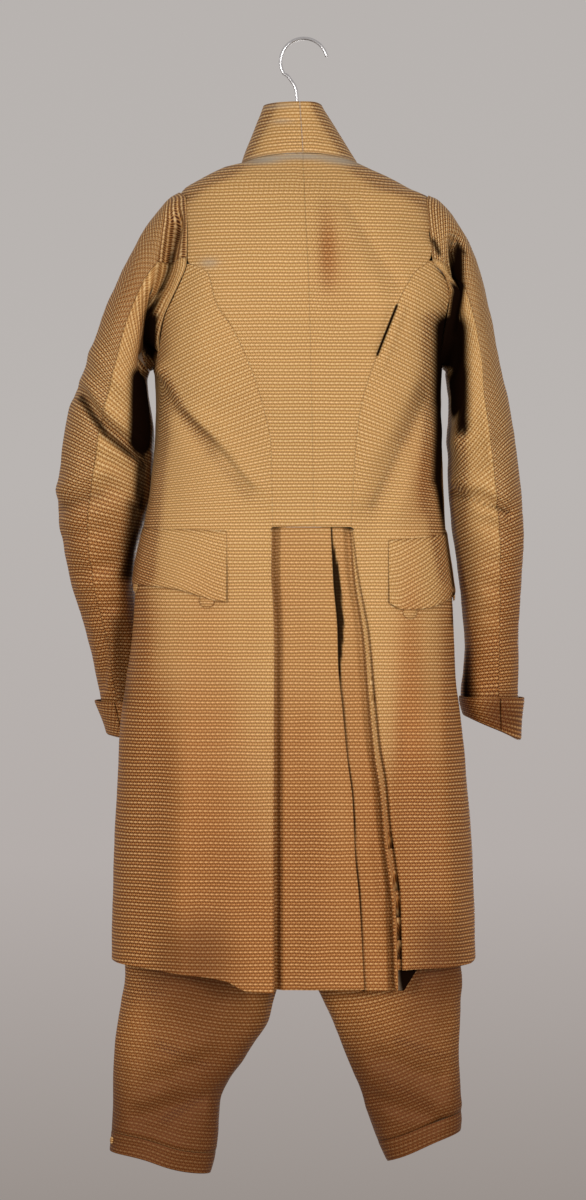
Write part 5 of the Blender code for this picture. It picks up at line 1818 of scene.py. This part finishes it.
HOOK = wire("hanger_hook", hook_path(), WIRE / 2, STEEL)
KEPT = {"hanger_bar": WOOD, "hanger_drop_wire": STEEL, "hanger_clip_left": STEEL, "hanger_clip_right": STEEL}
for node, finish in KEPT.items():
    held_slot = bpy.data.objects[node].material_slots[0]
    held_slot.link = "OBJECT"
    held_slot.material = finish
print("the hook has", len(HOOK.data.polygons), "faces, and", len(KEPT), "solids keep their shape")

# %% [markdown]
# The stage is a round pale floor under the suit, in an even pale studio. The air is brightest at
# eye level and a little darker towards the floor, so the suit's outline stays clear from all sides.
# A broad key light and a fill shine on the coat's back from both sides, and a weak one on its front.

# %% Stage, lights and camera
FLOOR_RADIUS = 3.0  # in metres, as all of the stage is
FLOOR_Z = -1.9
HORIZON = 0.158  # the air's colours change between this height of the direction and its opposite
FLOOR_PAPER = Finish("floor_paper", 0.85)
fibre = FLOOR_PAPER.noise(FLOOR_PAPER.place(), 220.0, 3.0)
FLOOR_PAPER.set("Base Color", FLOOR_PAPER.blend(fibre, (0.46, 0.44, 0.42, 1), (0.50, 0.48, 0.46, 1)))
disc = bmesh.new()
bmesh.ops.create_circle(disc, cap_ends=True, segments=96, radius=FLOOR_RADIUS)
bmesh.ops.translate(disc, vec=(0, 0, FLOOR_Z), verts=disc.verts[:])
floor_mesh = bpy.data.meshes.new("studio_floor")
disc.to_mesh(floor_mesh)
disc.free()
floor_mesh.materials.append(FLOOR_PAPER.material)
studio_floor = in_scene("studio_floor", floor_mesh)


def soft_light(name, place, target, size, power, colour):
    data = bpy.data.lights.new(name, "AREA")
    data.shape, data.size, data.energy, data.color = "SQUARE", size, power, colour
    lamp = in_scene(name, data)
    lamp.location = place
    lamp.rotation_euler = (Vector(target) - Vector(place)).to_track_quat("-Z", "Y").to_euler()


soft_light("key", (-2.1, -3.9, -0.1), (0, 0, -0.65), 0.9, 60, (1, 0.975, 0.94))
soft_light("fill", (2.1, -3.9, -0.3), (0, 0, -0.7), 0.9, 64, (1, 0.98, 0.96))
soft_light("front_light", (0.5, 3.8, -1.0), (0, 0, -0.7), 1.2, 24, (1, 0.98, 0.96))

AIR = [
    (0.0, (0.323, 0.287, 0.266, 1)),
    (0.28, (0.457, 0.418, 0.402, 1)),
    (0.6, (0.491, 0.462, 0.445, 1)),
    (1.0, (0.479, 0.451, 0.434, 1)),
]
world = bpy.data.worlds.new("studio_air")
world.use_nodes = True
air = world.node_tree
direction = air.nodes.new("ShaderNodeTexCoord")
split = air.nodes.new("ShaderNodeSeparateXYZ")
height = air.nodes.new("ShaderNodeMapRange")
height.inputs["From Min"].default_value, height.inputs["From Max"].default_value = -HORIZON, HORIZON
ramp = air.nodes.new("ShaderNodeValToRGB")
while len(ramp.color_ramp.elements) < len(AIR):
    ramp.color_ramp.elements.new(0.5)
for stop, (at, colour) in zip(ramp.color_ramp.elements, AIR):
    stop.position, stop.color = at, colour
air.links.new(direction.outputs["Generated"], split.inputs[0])
air.links.new(split.outputs["Z"], height.inputs["Value"])
air.links.new(height.outputs["Result"], ramp.inputs["Fac"])
air.links.new(ramp.outputs["Color"], air.nodes["Background"].inputs["Color"])
bpy.context.scene.world = world
bpy.context.scene.view_settings.view_transform = "Standard"

lens = bpy.data.cameras.new("view_from_behind")
lens.sensor_fit, lens.sensor_height, lens.lens = "VERTICAL", 24.0, 75.0
camera = in_scene("view_from_behind", lens)
camera.location = (-0.013, -4.5, -0.672)
camera.rotation_euler = (math.radians(90), 0, 0)
bpy.context.scene.camera = camera
